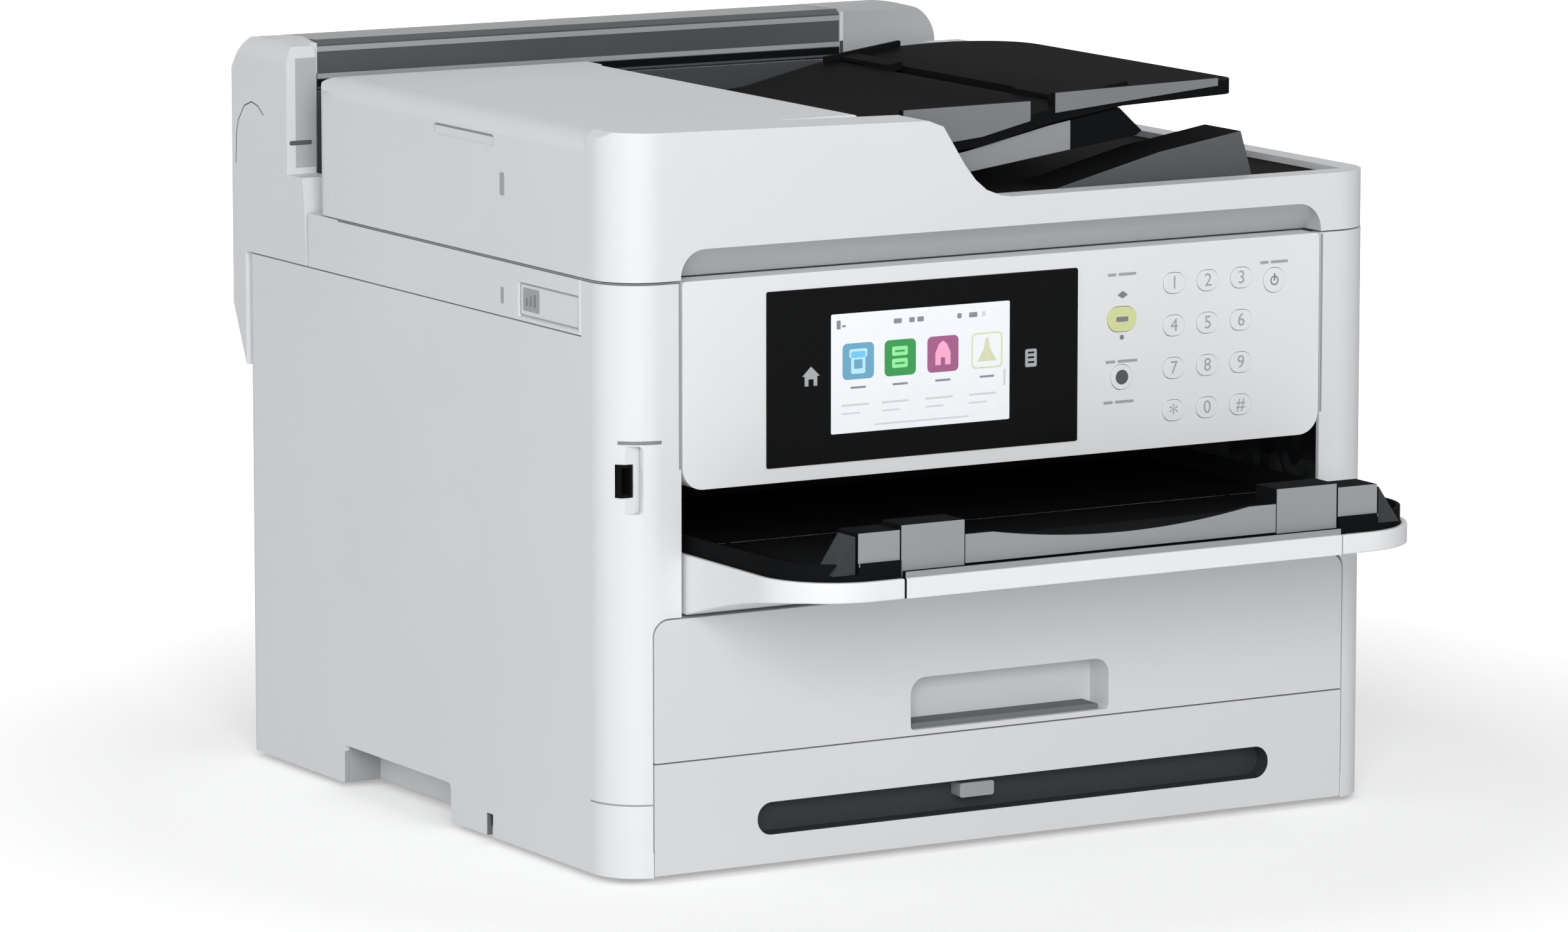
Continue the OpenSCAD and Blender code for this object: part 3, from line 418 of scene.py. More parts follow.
@dataclass(frozen=True)
class FloatGlass(Finish):
    """Clear float glass: see-through, with a green edge."""

    colour: str = "#dfeae6"
    shade: str = "#d3e3dd"
    ream_mm: float = 125.0

    def dress(self, tree: bpy.types.NodeTree, skin: bpy.types.Node) -> None:
        """Sets the glass; a faint green stays where it is thick.

        Args:
            tree: The material's nodes.
            skin: Its surface node.
        """
        skin.inputs["IOR"].default_value = 1.52
        skin.inputs["Roughness"].default_value = 0.02
        skin.inputs["Transmission Weight"].default_value = 0.85
        place = add_node(tree, "TexCoord").outputs["Object"]
        drift = add_node(tree, "TexNoise", {"Scale": 1 / (self.ream_mm * MM)}, {"Vector": place})
        add_node(
            tree, "MixRGB", {"Color1": linear(self.colour), "Color2": linear(self.shade)},
            {"Fac": drift.outputs["Fac"]}, {"Color": skin.inputs["Base Color"]},
        )


def lit(name: str, colour: str, glow: float = 0.25) -> PolishedPlastic:
    """Gives a lit colour of the liquid crystal display.

    Args:
        name: Name of the colour.
        colour: Its sRGB hex value.
        glow: Strength of the light behind it.

    Returns:
        The finish.
    """
    return PolishedPlastic("lcd_" + name, "display_glass", colour, 0.25, 7.0, 0.0, glow)


class Shop:
    """The finishes that this printer is made in."""

    # Off-white ABS of the covers: soft satin with a fine grain
    COVER = MouldedPlastic("cover_abs_spark_grain", "cover_white", "#e4e5e6", "#dedfe1", 0.5)
    # Drawer fronts, a touch greyer than the covers: painted shade of the output tray that hangs over
    # them
    DRAWER = MouldedPlastic("drawer_abs_satin_painted_shade", "cover_white", "#d8d9da", "#d4d5d6", 0.45, 0.7, 0.02)
    # The front pieces are a touch lighter and smoother
    FRONT = MouldedPlastic("front_abs_satin", "panel_white", "#ecedee", "#e7e8e9", 0.4, 0.7, 0.02)
    # Greyer ABS of the rear panel and the base
    BASE = MouldedPlastic("base_abs_grain", "pan_grey", "#cfd0d2", "#c6c7ca", 0.55)
    # Black high-impact polystyrene of the trays: deep and matt, with hardly any gloss
    BLACK = MouldedPlastic(
        "tray_hips_black_grain", "bay_black", "#131415", "#18191a", 0.7, 1.1, 0.04, 0.01
    )
    # Dark acetal of the sliding works: charcoal, with a little gloss
    DARK = MouldedPlastic("works_pom_dark", "tray_dark", "#2b2c2e", "#323335", 0.55, 0.9, 0.03, 0.3)
    # Mid-grey ABS of the guides and stops; it also paints the shade in the column gaps and the shadow
    # under the top edge of the feeder cover's notch
    GREY = MouldedPlastic("guide_abs_grey_and_painted_shade", "trim_grey", "#9b9da0", "#919396", 0.48)
    # Slate ABS of the feeder's flap, smooth enough for a soft highlight
    FLAP = MouldedPlastic("flap_abs_slate", "flap_grey", "#54575a", "#4c4f52", 0.35, 0.7, 0.02)
    # Painted shade of the finger recess: the cover's white greyed where it lies in shade
    RECESS = MouldedPlastic("recess_painted_shade", "trim_grey", "#bcbec0", "#b6b8ba", 0.5)
    # Darker greys of the document tray's rims, the bed's ramps and the bay behind the feeder; the
    # ramps' grey also paints the shade of the feeder's latch slot
    RIM = MouldedPlastic("rim_abs_grey", "trim_grey", "#7e8083", "#787a7d", 0.5)
    RAMP = MouldedPlastic("ramp_abs_dark_grey_and_slot_shade", "trim_grey", "#5f6163", "#595b5d", 0.6, 0.9, 0.03, 0.2)
    BAY = MouldedPlastic("feeder_bay_abs_slate", "flap_grey", "#505255", "#4a4c4f", 0.6, 0.9, 0.03, 0.1)
    # The arm at the feeder's right end is a mid-grey moulding; the same grey paints the shadow on the
    # left arm's front face and the shade in the feeder cover's notch
    CHEEK = MouldedPlastic("feeder_cheek_grey_and_painted_shade", "trim_grey", "#b9bbbd", "#b2b4b6", 0.5)
    # Pale grey of the marks on the left side; on the flap's ribs it is painted highlight, for narrow
    # edges that catch the light, and on the end faces at the base's rear notch it is painted shade
    EDGE = MouldedPlastic("pale_grey_painted_highlight_and_shade", "trim_grey", "#a9abad", "#a2a4a6", 0.4)
    # Charcoal of the output tray's wedges, and painted shade inside openings whose inner wall is seen:
    # the ink cover's slot and the rear vents
    SLOT = MouldedPlastic("charcoal_abs_and_painted_slot_shade", "bay_black", "#3a3c3e", "#343638", 0.6, 0.9, 0.03, 0.2)
    # The gaps between mouldings, which hold no light
    GAP = MouldedPlastic("gap_abs_shadow", "trim_grey", "#77797c", "#707275", 0.7, 0.9, 0.01, 0.1)
    # Smoked acrylic over the display: near black, with dim reflections
    GLASS_BLACK = PolishedPlastic(
        "bezel_acrylic_black", "display_glass", "#111213", 0.22, 9.0, 0.0, 0.0, 0.08
    )
    # Colours of the lit liquid crystal, which glow a little
    SCREEN = lit("lit_white", "#e4e7ea", 0.3)
    ICON_BLUE = lit("blue", "#6ea8c6", 0.15)
    ICON_SKY = lit("sky", "#b4e2f2")
    ICON_GREEN = lit("green", "#3c9a52", 0.15)
    ICON_MINT = lit("mint", "#8ee89a")
    ICON_PLUM = lit("plum", "#a4608a", 0.15)
    ICON_PINK = lit("pink", "#f2a6c8")
    ICON_STRAW = lit("straw", "#d5d8b4", 0.2)
    ICON_TEXT = lit("text_grey", "#8d9096", 0.1)
    ICON_PALE = lit("line_pale", "#cfd2d6", 0.2)
    # White marks behind the acrylic that light up
    MARK = PolishedPlastic("bezel_mark_white", "display_glass", "#acaeb1", 0.3, 7.0, 0.0, 0.1)
    # Polycarbonate key caps: smooth, with a small clean highlight
    KEY_GREEN = PolishedPlastic("key_pc_lime", "key_green", "#dfe6a6", 0.28, 3.0)
    KEY_DARK = PolishedPlastic("key_pc_grey", "key_dark", "#55575b", 0.3, 3.0)
    # Zinc-coated sheet of the frame: cool grey, mottled with crystals
    STEEL = GalvanisedSteel("frame_zinc_spangle", "frame_steel")
    # Near-black rubber of the feet, and the greyer one of the rollers: both matt
    RUBBER = GroundRubber("foot_nitrile", "foot_rubber", "#1d1d1e")
    ROLLER = GroundRubber("roller_epdm_grey", "roller_rubber", "#3c3e41")
    # Green solder mask, glossy as lacquer
    BOARD = PolishedPlastic("board_solder_mask", "board_green", "#1f5a38", 0.3, 4.0)
    # Laminated film of the ink pack: shiny, with long soft dents
    FILM = PolishedPlastic("ink_pack_film", "ink_film", "#5b5f63", 0.25, 20.0)
    # Clear pane that documents lie on
    PANE = FloatGlass("scanner_float_glass", "platen_glass")
    # White backing foam: bright, with no gloss to speak of
    FOAM = MouldedPlastic("backing_foam_white", "mat_white", "#f2f2f1", "#ececeb", 0.8, 0.6, 0.06)
    # Grey inks of the legends; the darker one also paints the shadow along the top edge of the host
    # socket's recess
    INK = PadPrint("print_grey", "trim_grey", "#9a9da2")
    DARK_INK_AND_SHADOW = PadPrint("print_dark_and_painted_shadow", "trim_grey", "#6c6f75")


# ---- Mesh making ----


def publish(name: str, mesh: bmesh.types.BMesh, finish: Finish, body: str) -> bpy.types.Object:
    """Makes an object of a mesh, dresses it and lets it ride on a body.

    Args:
        name: Name of the new piece.
        mesh: Its mesh in the row frame, freed here.
        finish: Its surface.
        body: The CAD body that carries it.

    Returns:
        The new object.
    """
    data = bpy.data.meshes.new(name)
    bmesh.ops.recalc_face_normals(mesh, faces=mesh.faces)
    mesh.to_mesh(data)
    mesh.free()
    piece = bpy.data.objects.new(name, data)
    bpy.context.scene.collection.objects.link(piece)
    data.materials.append(finish.material())
    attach(piece, body)
    LOG.info("piece %s on %s in %s", name, body, finish.name)
    return piece


def smooth(piece: bpy.types.Object, degrees: float = 32.0) -> None:
    """Shades a piece smooth, apart from edges sharper than an angle.

    Args:
        piece: The object to shade.
        degrees: The angle that stays sharp.
    """
    mesh = bmesh.new()
    mesh.from_mesh(piece.data)
    limit = math.radians(degrees)
    for face in mesh.faces:
        face.smooth = True
    for edge in mesh.edges:
        edge.smooth = len(edge.link_faces) == 2 and edge.calc_face_angle(0.0) < limit
    mesh.to_mesh(piece.data)
    mesh.free()


def rounded(
    piece: bpy.types.Object, radius_mm: float, segments: int = 2, sharp: float = 32.0
) -> None:
    """Rounds the edges of a piece as a mould does.

    Args:
        piece: The object to round.
        radius_mm: Width of the rounding.
        segments: Faces across it.
        sharp: Angle in degrees above which an edge is rounded.
    """
    bevel = piece.modifiers.new("edge_radius", "BEVEL")
    bevel.limit_method = "ANGLE"
    bevel.angle_limit = math.radians(sharp)
    bevel.width = radius_mm * MM
    bevel.segments = segments
    bevel.harden_normals = False
    bevel.use_clamp_overlap = True
    normals = piece.modifiers.new("flat_faces", "WEIGHTED_NORMAL")
    normals.keep_sharp = True
    smooth(piece, 180.0)


def rounded_outline(
    x0: float, x1: float, z0: float, z1: float, radius: float, steps: int = 6
) -> list[Point2]:
    """Gives the outline of a rounded rectangle.

    Args:
        x0: Left side.
        x1: Right side.
        z0: Bottom.
        z1: Top.
        radius: Corner radius.
        steps: Segments in each corner.

    Returns:
        Points in order round the outline.
    """
    least = 1e-3
    radius = max(min(radius, (x1 - x0) / 2 - least, (z1 - z0) / 2 - least), least)
    corners = [(x1 - radius, z0 + radius, -90), (x1 - radius, z1 - radius, 0),
               (x0 + radius, z1 - radius, 90), (x0 + radius, z0 + radius, 180)]
    points = []
    for cx, cz, start in corners:
        for i in range(steps + 1):
            turn = math.radians(start + 90 * i / steps)
            points.append((cx + radius * math.cos(turn), cz + radius * math.sin(turn)))
    return points


class Facing(Enum):
    """Plane in which an outline is drawn, and the way that it is pushed."""

    FRONT = "across and up, pushed to the rear"
    SIDE = "depth and up, pushed to the right"
    TOP = "across and depth, pushed up"


def place(facing: Facing, a: float, b: float, push: float) -> Vector:
    """Places a point of an outline.

    Args:
        facing: The plane of the outline.
        a: First coordinate in millimetres.
        b: Second coordinate in millimetres.
        push: Distance along the push.

    Returns:
        The point in the row frame.
    """
    if facing is Facing.FRONT:
        return at(a, push, b)
    if facing is Facing.SIDE:
        return at(push, a, b)
    return at(a, b, push)


def prism(
    mesh: bmesh.types.BMesh, outline: Sequence[Point2], facing: Facing, start: float, end: float,
    draft: float = 0.0,
) -> None:
    """Pushes an outline to a solid.

    Args:
        mesh: The mesh that gets it.
        outline: Points in millimetres.
        facing: Plane and push of the outline.
        start: Where the push starts.
        end: Where it ends.
        draft: How far the end's outline is pulled in, as the draft of a mould.
    """
    cx = sum(p[0] for p in outline) / len(outline)
    cz = sum(p[1] for p in outline) / len(outline)
    reach = max(max(abs(p[0] - cx), abs(p[1] - cz)) for p in outline)
    scale = 1 - draft / reach
    near = [mesh.verts.new(place(facing, p[0], p[1], start)) for p in outline]
    far = [mesh.verts.new(place(facing, cx + (p[0] - cx) * scale, cz + (p[1] - cz) * scale, end))
           for p in outline]
    mesh.faces.new(near)
    mesh.faces.new(list(reversed(far)))
    for i in range(len(near)):
        j = (i + 1) % len(near)
        mesh.faces.new((near[i], far[i], far[j], near[j]))


def ring(
    mesh: bmesh.types.BMesh, outer: Sequence[Point2], inner: Sequence[Point2], facing: Facing,
    start: float, end: float,
) -> None:
    """Makes a frame between two outlines with as many points each.

    Args:
        mesh: The mesh that gets it.
        outer: Outer outline.
        inner: Inner outline.
        facing: Plane and push of the outlines.
        start: Where the push starts.
        end: Where it ends.
    """
    rows = [[mesh.verts.new(place(facing, p[0], p[1], y)) for p in line]
            for line, y in ((outer, start), (outer, end), (inner, end), (inner, start))]
    for r in range(4):
        a, b = rows[r], rows[(r + 1) % 4]
        for i in range(len(a)):
            j = (i + 1) % len(a)
            mesh.faces.new((a[i], a[j], b[j], b[i]))


@dataclass(frozen=True)
class Zone:
    """A part of a shell with a finish of its own, in millimetres: across, depth and up."""

    finish: Finish
    low: Corner
    high: Corner
    faces: Optional[Corner] = None
    cut: bool = False

    def divide(self, mesh: bmesh.types.BMesh) -> None:
        """Cuts the faces that cross the zone's sides, where the zone asks for it.

        Args:
            mesh: The mesh that is changed.
        """
        if not self.cut:
            return
        low, high = at(*self.low), at(*self.high)
        near = 1e-5
        for axis in range(3):
            normal = Vector((axis == 0, axis == 1, axis == 2))
            for corner in (low, high):
                crossing = [
                    face for face in mesh.faces
                    if self.looks_at(face.normal)
                    and all(min(v.co[i] for v in face.verts) < high[i] + near
                            and max(v.co[i] for v in face.verts) > low[i] - near for i in range(3))
                ]
                parts = set(crossing)
                for face in crossing:
                    parts.update(face.edges)
                    parts.update(face.verts)
                bmesh.ops.bisect_plane(mesh, geom=list(parts), dist=1e-6, plane_co=corner,
                                       plane_no=normal)

    def looks_at(self, normal: Vector) -> bool:
        """Returns whether a normal faces the zone's way, or the zone takes every way."""
        return self.faces is None or normal.dot(Vector(self.faces)) > FACING_LIMIT

    def holds(self, centre: Vector, normal: Vector) -> bool:
        """Tells whether a face belongs to the zone.

        Args:
            centre: Middle of the face in metres.
            normal: Its normal.

        Returns:
            True where it does.
        """
        low, high = at(*self.low), at(*self.high)
        return self.looks_at(normal) and all(low[i] <= centre[i] <= high[i] for i in range(3))


@dataclass(frozen=True)
class Crown:
    """Edges that get a larger radius, between two corners in millimetres."""

    low: Corner
    high: Corner
    radius: float
    segments: int = 5
    sharp: float = 30.0

    def soften(self, mesh: bmesh.types.BMesh) -> None:
        """Rounds the sharp edges between the corners.

        Args:
            mesh: The mesh that is changed.
        """
        low, high = at(*self.low), at(*self.high)
        chosen = [
            edge for edge in mesh.edges
            if len(edge.link_faces) == 2 and edge.calc_face_angle(0.0) > math.radians(self.sharp)
            and all(low[i] <= v.co[i] <= high[i] for v in edge.verts for i in range(3))
        ]
        if not chosen:
            LOG.warning("no edge between %s and %s", self.low, self.high)
            return
        bmesh.ops.bevel(mesh, geom=chosen, offset=self.radius * MM, segments=self.segments,
                        profile=0.5, affect="EDGES", clamp_overlap=True)


@dataclass
class Shell:
    """A CAD node that is shown as a copy with moulded edges."""

    node: str
    finish: Finish
    radius: float = 0.5
    segments: int = 2
    zones: tuple[Zone, ...] = ()
    crowns: tuple[Crown, ...] = ()
    weld: float = 2e-6
    flat: float = 0.5

    def build(self, frame: dict) -> None:
        """Copies the node's mesh, rounds its edges and lets the copy stand for it.
        """
        source = frame["nodes"][self.node]
        mesh = bmesh.new()
        mesh.from_mesh(source.data)
        bmesh.ops.remove_doubles(mesh, verts=mesh.verts, dist=self.weld)
        bmesh.ops.dissolve_limit(
            mesh, angle_limit=math.radians(self.flat), verts=mesh.verts, edges=mesh.edges
        )
        for crown in self.crowns:
            crown.soften(mesh)
        for zone in self.zones:
            zone.divide(mesh)
        piece = publish(self.node + "_shell", mesh, self.finish, source["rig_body"])
        for zone in self.zones:
            piece.data.materials.append(zone.finish.material())
        for face in piece.data.polygons:
            for number, zone in enumerate(self.zones):
                if zone.holds(face.center, face.normal):
                    face.material_index = number + 1
        if self.radius > 0:
            rounded(piece, self.radius, self.segments)
        else:
            smooth(piece)
        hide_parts(self.node)


# ---- Sub-assemblies ----


class Drawing:
    """Thin shapes of several finishes that lie on one face of a body."""

    def __init__(self, name: str, body: str) -> None:
        """Starts an empty drawing.

        Args:
            name: First part of its pieces' names.
            body: The body that it rides on.
        """
        self.name = name
        self.body = body
        self.sheets: dict[Finish, bmesh.types.BMesh] = {}

    def sheet(self, finish: Finish) -> bmesh.types.BMesh:
        """Gives the mesh that holds the shapes of a finish.

        Args:
            finish: The finish.

        Returns:
            Its mesh, empty on the first use.
        """
        if finish not in self.sheets:
            self.sheets[finish] = bmesh.new()
        return self.sheets[finish]

    def plate(
        self, finish: Finish, x0: float, x1: float, z0: float, z1: float, front: float,
        back: float, radius: float = 0.6,
    ) -> None:
        """Adds a rounded plate that faces the front.

        Args:
            finish: Its finish.
            x0: Left side.
            x1: Right side.
            z0: Bottom.
            z1: Top.
            front: Depth of its face.
            back: Depth of its back.
            radius: Corner radius.
        """
        prism(self.sheet(finish), rounded_outline(x0, x1, z0, z1, radius, 4), Facing.FRONT,
              front, back)

    def shape(
        self, finish: Finish, points: Sequence[Point2], front: float, back: float
    ) -> None:
        """Adds a plate of any outline that faces the front.

        Args:
            finish: Its finish.
            points: The outline.
            front: Depth of its face.
            back: Depth of its back.
        """
        prism(self.sheet(finish), points, Facing.FRONT, front, back)

    def text(
        self, finish: Finish, words: str, x: float, z: float, height: float, front: float,
        thick: float = 0.06,
    ) -> None:
        """Adds a number or a sign that faces the front.

        Args:
            finish: Its finish.
            words: The characters.
            x: Middle across.
            z: Middle up.
            height: Height of a capital.
            front: Depth of its face.
            thick: Thickness of the ink.
        """
        curve = bpy.data.curves.new("glyph", "FONT")
        curve.body = words
        curve.align_x = "CENTER"
        curve.align_y = "CENTER"
        curve.size = height * MM / CAPITAL
        curve.extrude = thick * MM / 2
        holder = bpy.data.objects.new("glyph", curve)
        bpy.context.scene.collection.objects.link(holder)
        bpy.context.view_layer.update()
        flat = bpy.data.meshes.new_from_object(
            holder.evaluated_get(bpy.context.evaluated_depsgraph_get())
        )
        turn = Matrix.Translation(at(x, front + thick / 2, z)) @ Matrix.Rotation(math.pi / 2, 4, "X")
        flat.transform(turn)
        self.sheet(finish).from_mesh(flat)
        bpy.data.objects.remove(holder)
        bpy.data.curves.remove(curve)
        bpy.data.meshes.remove(flat)

    def finish(self) -> None:
        """Makes a piece of each finish."""
        for number, (finish, mesh) in enumerate(self.sheets.items()):
            publish("%s_%d" % (self.name, number), mesh, finish, self.body)


@dataclass
class Casing:
    """The white covers, the base and the rear, and what screws them on."""

    half_w: float = from_frame("right_cover", Side.RIGHT)
    # Inner edge of the front columns, and the round left corner between front and side
    strip: float = from_frame("cassette_front", Side.RIGHT)
    corner_r: float = 24.0
    corner_steps: int = 48
    # Depth at which the front column ends, the rim under the cover, and the edges' radius
    pillar: float = 33.5
    rim_z: float = from_frame("left_cover", Side.TOP)
    radius: float = 0.7
    # Slot and end face of the left cover's skirt, and the base's faces beside it: the slot is painted
    # shade, both end faces are painted shade in pale grey, and the base's side wall is painted in the
    # lighter cover white
    skirt_slot: Box = ((-212.45, 120, 0), (-205, 131, 15.5))
    skirt_end: Box = ((-212.6, 276, -1), (-205, 280, 16))
    pan_end: Box = ((-212.6, 276, -1), (-190, 280, 16))
    pan_side: Box = ((-194.5, 190, -1), (-191.5, 280, 16))
    # Bay behind the feeder, the arms at its ends, with painted shadow on the left one's front face, and
    # the housing's rounded left end
    feeder_bay: Box = ((-193.5, 338, 290), (110, 342, 349))
    right_arm: Box = ((113, 336, 322), (172, 400, 370))
    left_arm_shadow: Box = ((-207.5, 335, 303), (-190, 337, 357.5))
    housing_top: Box = ((-213, 335, 345), (-190, 400, 367))
    housing_edge: Box = ((-213, 335, 301), (-190, 337, 360))
    # Flap at the rear of the feeder, and how far its ribs stay clear of its ends
    flap_left: float = from_frame("feeder_flap", Side.LEFT)
    flap_right: float = from_frame("feeder_flap", Side.RIGHT)
    flap_face: float = from_frame("feeder_flap", Side.FRONT)
    flap_inset: float = 2.0
    flap_rib_rows: tuple[Span, ...] = ((359.6, 362.2), (346.2, 348.6))
    flap_groove_row: Span = (342.2, 345.8)
    # Parting line of the rear corner, as depths and heights, with half its width
    rear_seam: tuple[Point2, ...] = (
        (361, 327), (367, 331), (374, 332.5), (382, 330), (389, 322), (391, 316), (392, 300)
    )
    rear_seam_half: float = 0.35
    rear_seam_lift: float = 0.04
    # Shadow gaps under the cover, beside the panel and over the drawer
    rim_gap: float = 0.65
    rim_end_x: float = -178.4
    rim_rear: float = 281.0
    panel_gap: Span = (178.1, 179.3)
    panel_foot: float = 195.5
    low_seam: Span = (37.4, 38.2)
    low_seam_start: float = 26.0
    # Marks on the left side, as depths and heights
    lift_mark: Rect = (109.2, 112.4, 262.5, 270.5)
    mark_thick: float = 0.6
    jam_mark: Rect = (108.6, 113.2, 314, 325)
    jam_mark_x: Span = (-212.33, -212.0)
    field_outer: Rect = (36.5, 94.5, 259, 274.5)
    field_inner: Rect = (37.1, 93.9, 259.6, 273.9)
    field_x: Span = (-211.6, -211.0)
    field_patch: Rect = (76, 92, 261.5, 272.5)
    patch_x: Span = (-211.45, -211.0)
    bar_places: tuple[float, ...] = (79.5, 83.5, 87.5)
    bar_w: float = 1.8
    bar_rows: Span = (264, 270)
    bar_step: float = 1.2
    bar_x: Span = (-211.55, -211.3)
    # Painted shadow along the top edge of the host socket's recess, and the points of the corner that
    # it leaves out
    shadow_rows: Span = (208.2, 209.9)
    shadow_end_x: float = -188.0
    shadow_skip: int = 22
    # Latch slot in the end of the feeder's housing, a flat plate of painted shade
    latch: Rect = (-211, -198.4, 314.3, 316.6)
    latch_depths: Span = (335.46, 336.0)

    def build(self, frame: dict) -> None:
        """Builds every fixed outer piece.
        """
        for node in ("right_cover", "scanner_housing", "rear_cover"):
            Shell(node, Shop.COVER, radius=self.radius).build(frame)
        Shell("left_cover", Shop.COVER, radius=self.radius, zones=(
            Zone(Shop.GAP, *self.skirt_slot),
            Zone(Shop.EDGE, *self.skirt_end, FORWARD),
        )).build(frame)
        Shell("feeder_housing", Shop.COVER, radius=self.radius, zones=(
            Zone(Shop.BAY, *self.feeder_bay, FORWARD, cut=True),
            Zone(Shop.CHEEK, *self.right_arm),
            Zone(Shop.CHEEK, *self.left_arm_shadow, FORWARD, cut=True),
        ), crowns=(
            Crown(*self.housing_top, radius=3.0),
            Crown(*self.housing_edge, radius=2.0),
        )).build(frame)
        Shell("rear_panel", Shop.BASE, radius=0.4).build(frame)
        Shell("base_pan", Shop.BASE, radius=0.4, zones=(
            Zone(Shop.EDGE, *self.pan_end, FORWARD),
            Zone(Shop.COVER, *self.pan_side, LEFTWARD),
        )).build(frame)
        for node, finish, radius in (
            ("rubber_feet", Shop.RUBBER, 0.8), ("feeder_flap", Shop.FLAP, 0.5),
            ("power_inlet", Shop.BLACK, 0.3), ("usb_port", Shop.BLACK, 0.15),
            ("screws", Shop.STEEL, 0.2),
        ):
            Shell(node, finish, radius=radius).build(frame)
        self.flap_ribs()
        self.seams()
        self.side_marks()
        self.front_marks()
        RearDetails().build()

    def flap_ribs(self) -> None:
        """Adds the ribs, painted pale as highlight, and the dark groove, which run along the rear flap.
        """
        face, sunk, proud = self.flap_face, 0.2, 0.4
        ends = (self.flap_left + self.flap_inset, self.flap_right - self.flap_inset)
        ribs, groove = bmesh.new(), bmesh.new()
        for row in self.flap_rib_rows:
            prism(ribs, rounded_outline(*ends, *row, 0.8), Facing.FRONT, face - sunk, face + proud)
        prism(groove, rounded_outline(*ends, *self.flap_groove_row, 0.4), Facing.FRONT,
              face - 2 * HAIR, face + proud)
        publish("flap_ribs", ribs, Shop.EDGE, "rear_flap")
        publish("flap_groove", groove, Shop.BLACK, "rear_flap")

    def plan(self, z: float, start: float, end_x: float) -> list[Vector]:
        """Follows the body round its front left corner, a hair off its surface.

        Args:
            z: Height of the path.
            start: Depth at which it starts on the side.
            end_x: Where it ends on the front.

        Returns:
            The points of the path.
        """
        r, side = self.corner_r, -self.half_w - HAIR
        points = [at(side, start, z), at(side, r, z)]
        for i in range(1, self.corner_steps + 1):
            a = math.pi + math.pi / 2 * i / self.corner_steps
            x = -self.half_w + r + (r + HAIR) * math.cos(a)
            points.append(at(x, r + (r + HAIR) * math.sin(a), z))
            if x > end_x:
                break
        return points

    def band(
        self, mesh: bmesh.types.BMesh, path: Callable[[float], list[Vector]], low: float, high: float
    ) -> None:
        """Lays a thin band on the body between two heights.

        Args:
            mesh: The mesh that gets it.
            path: Gives the path at a height.
            low: Lower edge.
            high: Upper edge.
        """
        below = [mesh.verts.new(p) for p in path(low)]
        above = [mesh.verts.new(p) for p in path(high)]
        for i in range(len(below) - 1):
            mesh.faces.new((below[i], below[i + 1], above[i + 1], above[i]))

    def seams(self) -> None:
        """Draws the parting line of the rear corner and the gaps that hold shade."""
        lines, columns, under = bmesh.new(), bmesh.new(), bmesh.new()
        side = -self.half_w - self.rear_seam_lift
        for (y0, z0), (y1, z1) in zip(self.rear_seam, self.rear_seam[1:]):
            across = Vector((0, z0 - z1, y1 - y0)).normalized() * self.rear_seam_half * MM
            a, b = at(side, y0, z0), at(side, y1, z1)
            corners = (a - across, b - across, b + across, a + across)
            lines.faces.new([lines.verts.new(p) for p in corners])
        rim = (self.rim_z - self.rim_gap, self.rim_z)
        self.band(lines, lambda z: self.plan(z, self.pillar, 0.0) + [at(self.rim_end_x, -HAIR, z)],
                  *rim)
        publish("case_parting_lines", lines, Shop.GAP, "chassis")
        # The column gaps are painted shade, in the guides' grey
        self.band(columns, lambda z: self.plan(z, self.low_seam_start, -self.strip - 1), *self.low_seam)
        for sign in (-1, 1):
            ends = sorted(sign * x for x in self.panel_gap)
            self.band(columns, lambda z: [at(x, -HAIR, z) for x in ends], self.panel_foot,
                      self.rim_z - 0.6)
        publish("column_gaps", columns, Shop.GREY, "chassis")
        depths = (self.rim_rear, self.pillar + 0.6)
        self.band(under, lambda z: [at(-self.half_w - HAIR, y, z) for y in depths], *rim)
        publish("cover_shadow_gap", under, Shop.GAP, "scanner")

    def side_marks(self) -> None:
        """Adds the small marks and the framed field on the left side."""
        lift, field, bars, jam = bmesh.new(), bmesh.new(), bmesh.new(), bmesh.new()
        side = -self.half_w - HAIR
        prism(lift, rounded_outline(*self.lift_mark, 0.9), Facing.SIDE, side,
              side + self.mark_thick)
        publish("lift_mark_bar", lift, Shop.EDGE, "scanner")
        ring(field, rounded_outline(*self.field_outer, 1.2), rounded_outline(*self.field_inner, 0.9),
             Facing.SIDE, *self.field_x)
        prism(field, rounded_outline(*self.field_patch, 1), Facing.SIDE, *self.patch_x)
        publish("size_field_frame", field, Shop.INK, "scanner")
        low, high = self.bar_rows
        for i, y in enumerate(self.bar_places):
            outline = rounded_outline(y, y + self.bar_w, low, high - i * self.bar_step, 0.4)
            prism(bars, outline, Facing.SIDE, *self.bar_x)
        publish("size_field_bars", bars, Shop.DARK_INK_AND_SHADOW, "scanner")
        prism(jam, rounded_outline(*self.jam_mark, 1.2), Facing.SIDE, *self.jam_mark_x)
        publish("jam_mark_bar", jam, Shop.EDGE, "feeder_lid")

    def front_marks(self) -> None:
        """Adds the painted shadow along the top edge of the host socket's recess, and the latch slot of
        the housing as a plate of painted shade.
        """
        sign, slot = bmesh.new(), bmesh.new()
        # A band of painted shadow along the top edge of the host socket's recess, in the dark ink
        self.band(sign, lambda z: self.plan(z, self.corner_r, self.shadow_end_x)[self.shadow_skip:],
                  *self.shadow_rows)
        publish("socket_recess_shadow", sign, Shop.DARK_INK_AND_SHADOW, "chassis")
        # The latch slot is a flat plate of painted shade
        prism(slot, rounded_outline(*self.latch, 1.1), Facing.FRONT, *self.latch_depths)
        publish("feeder_latch_slot_shade", slot, Shop.RAMP, "chassis")


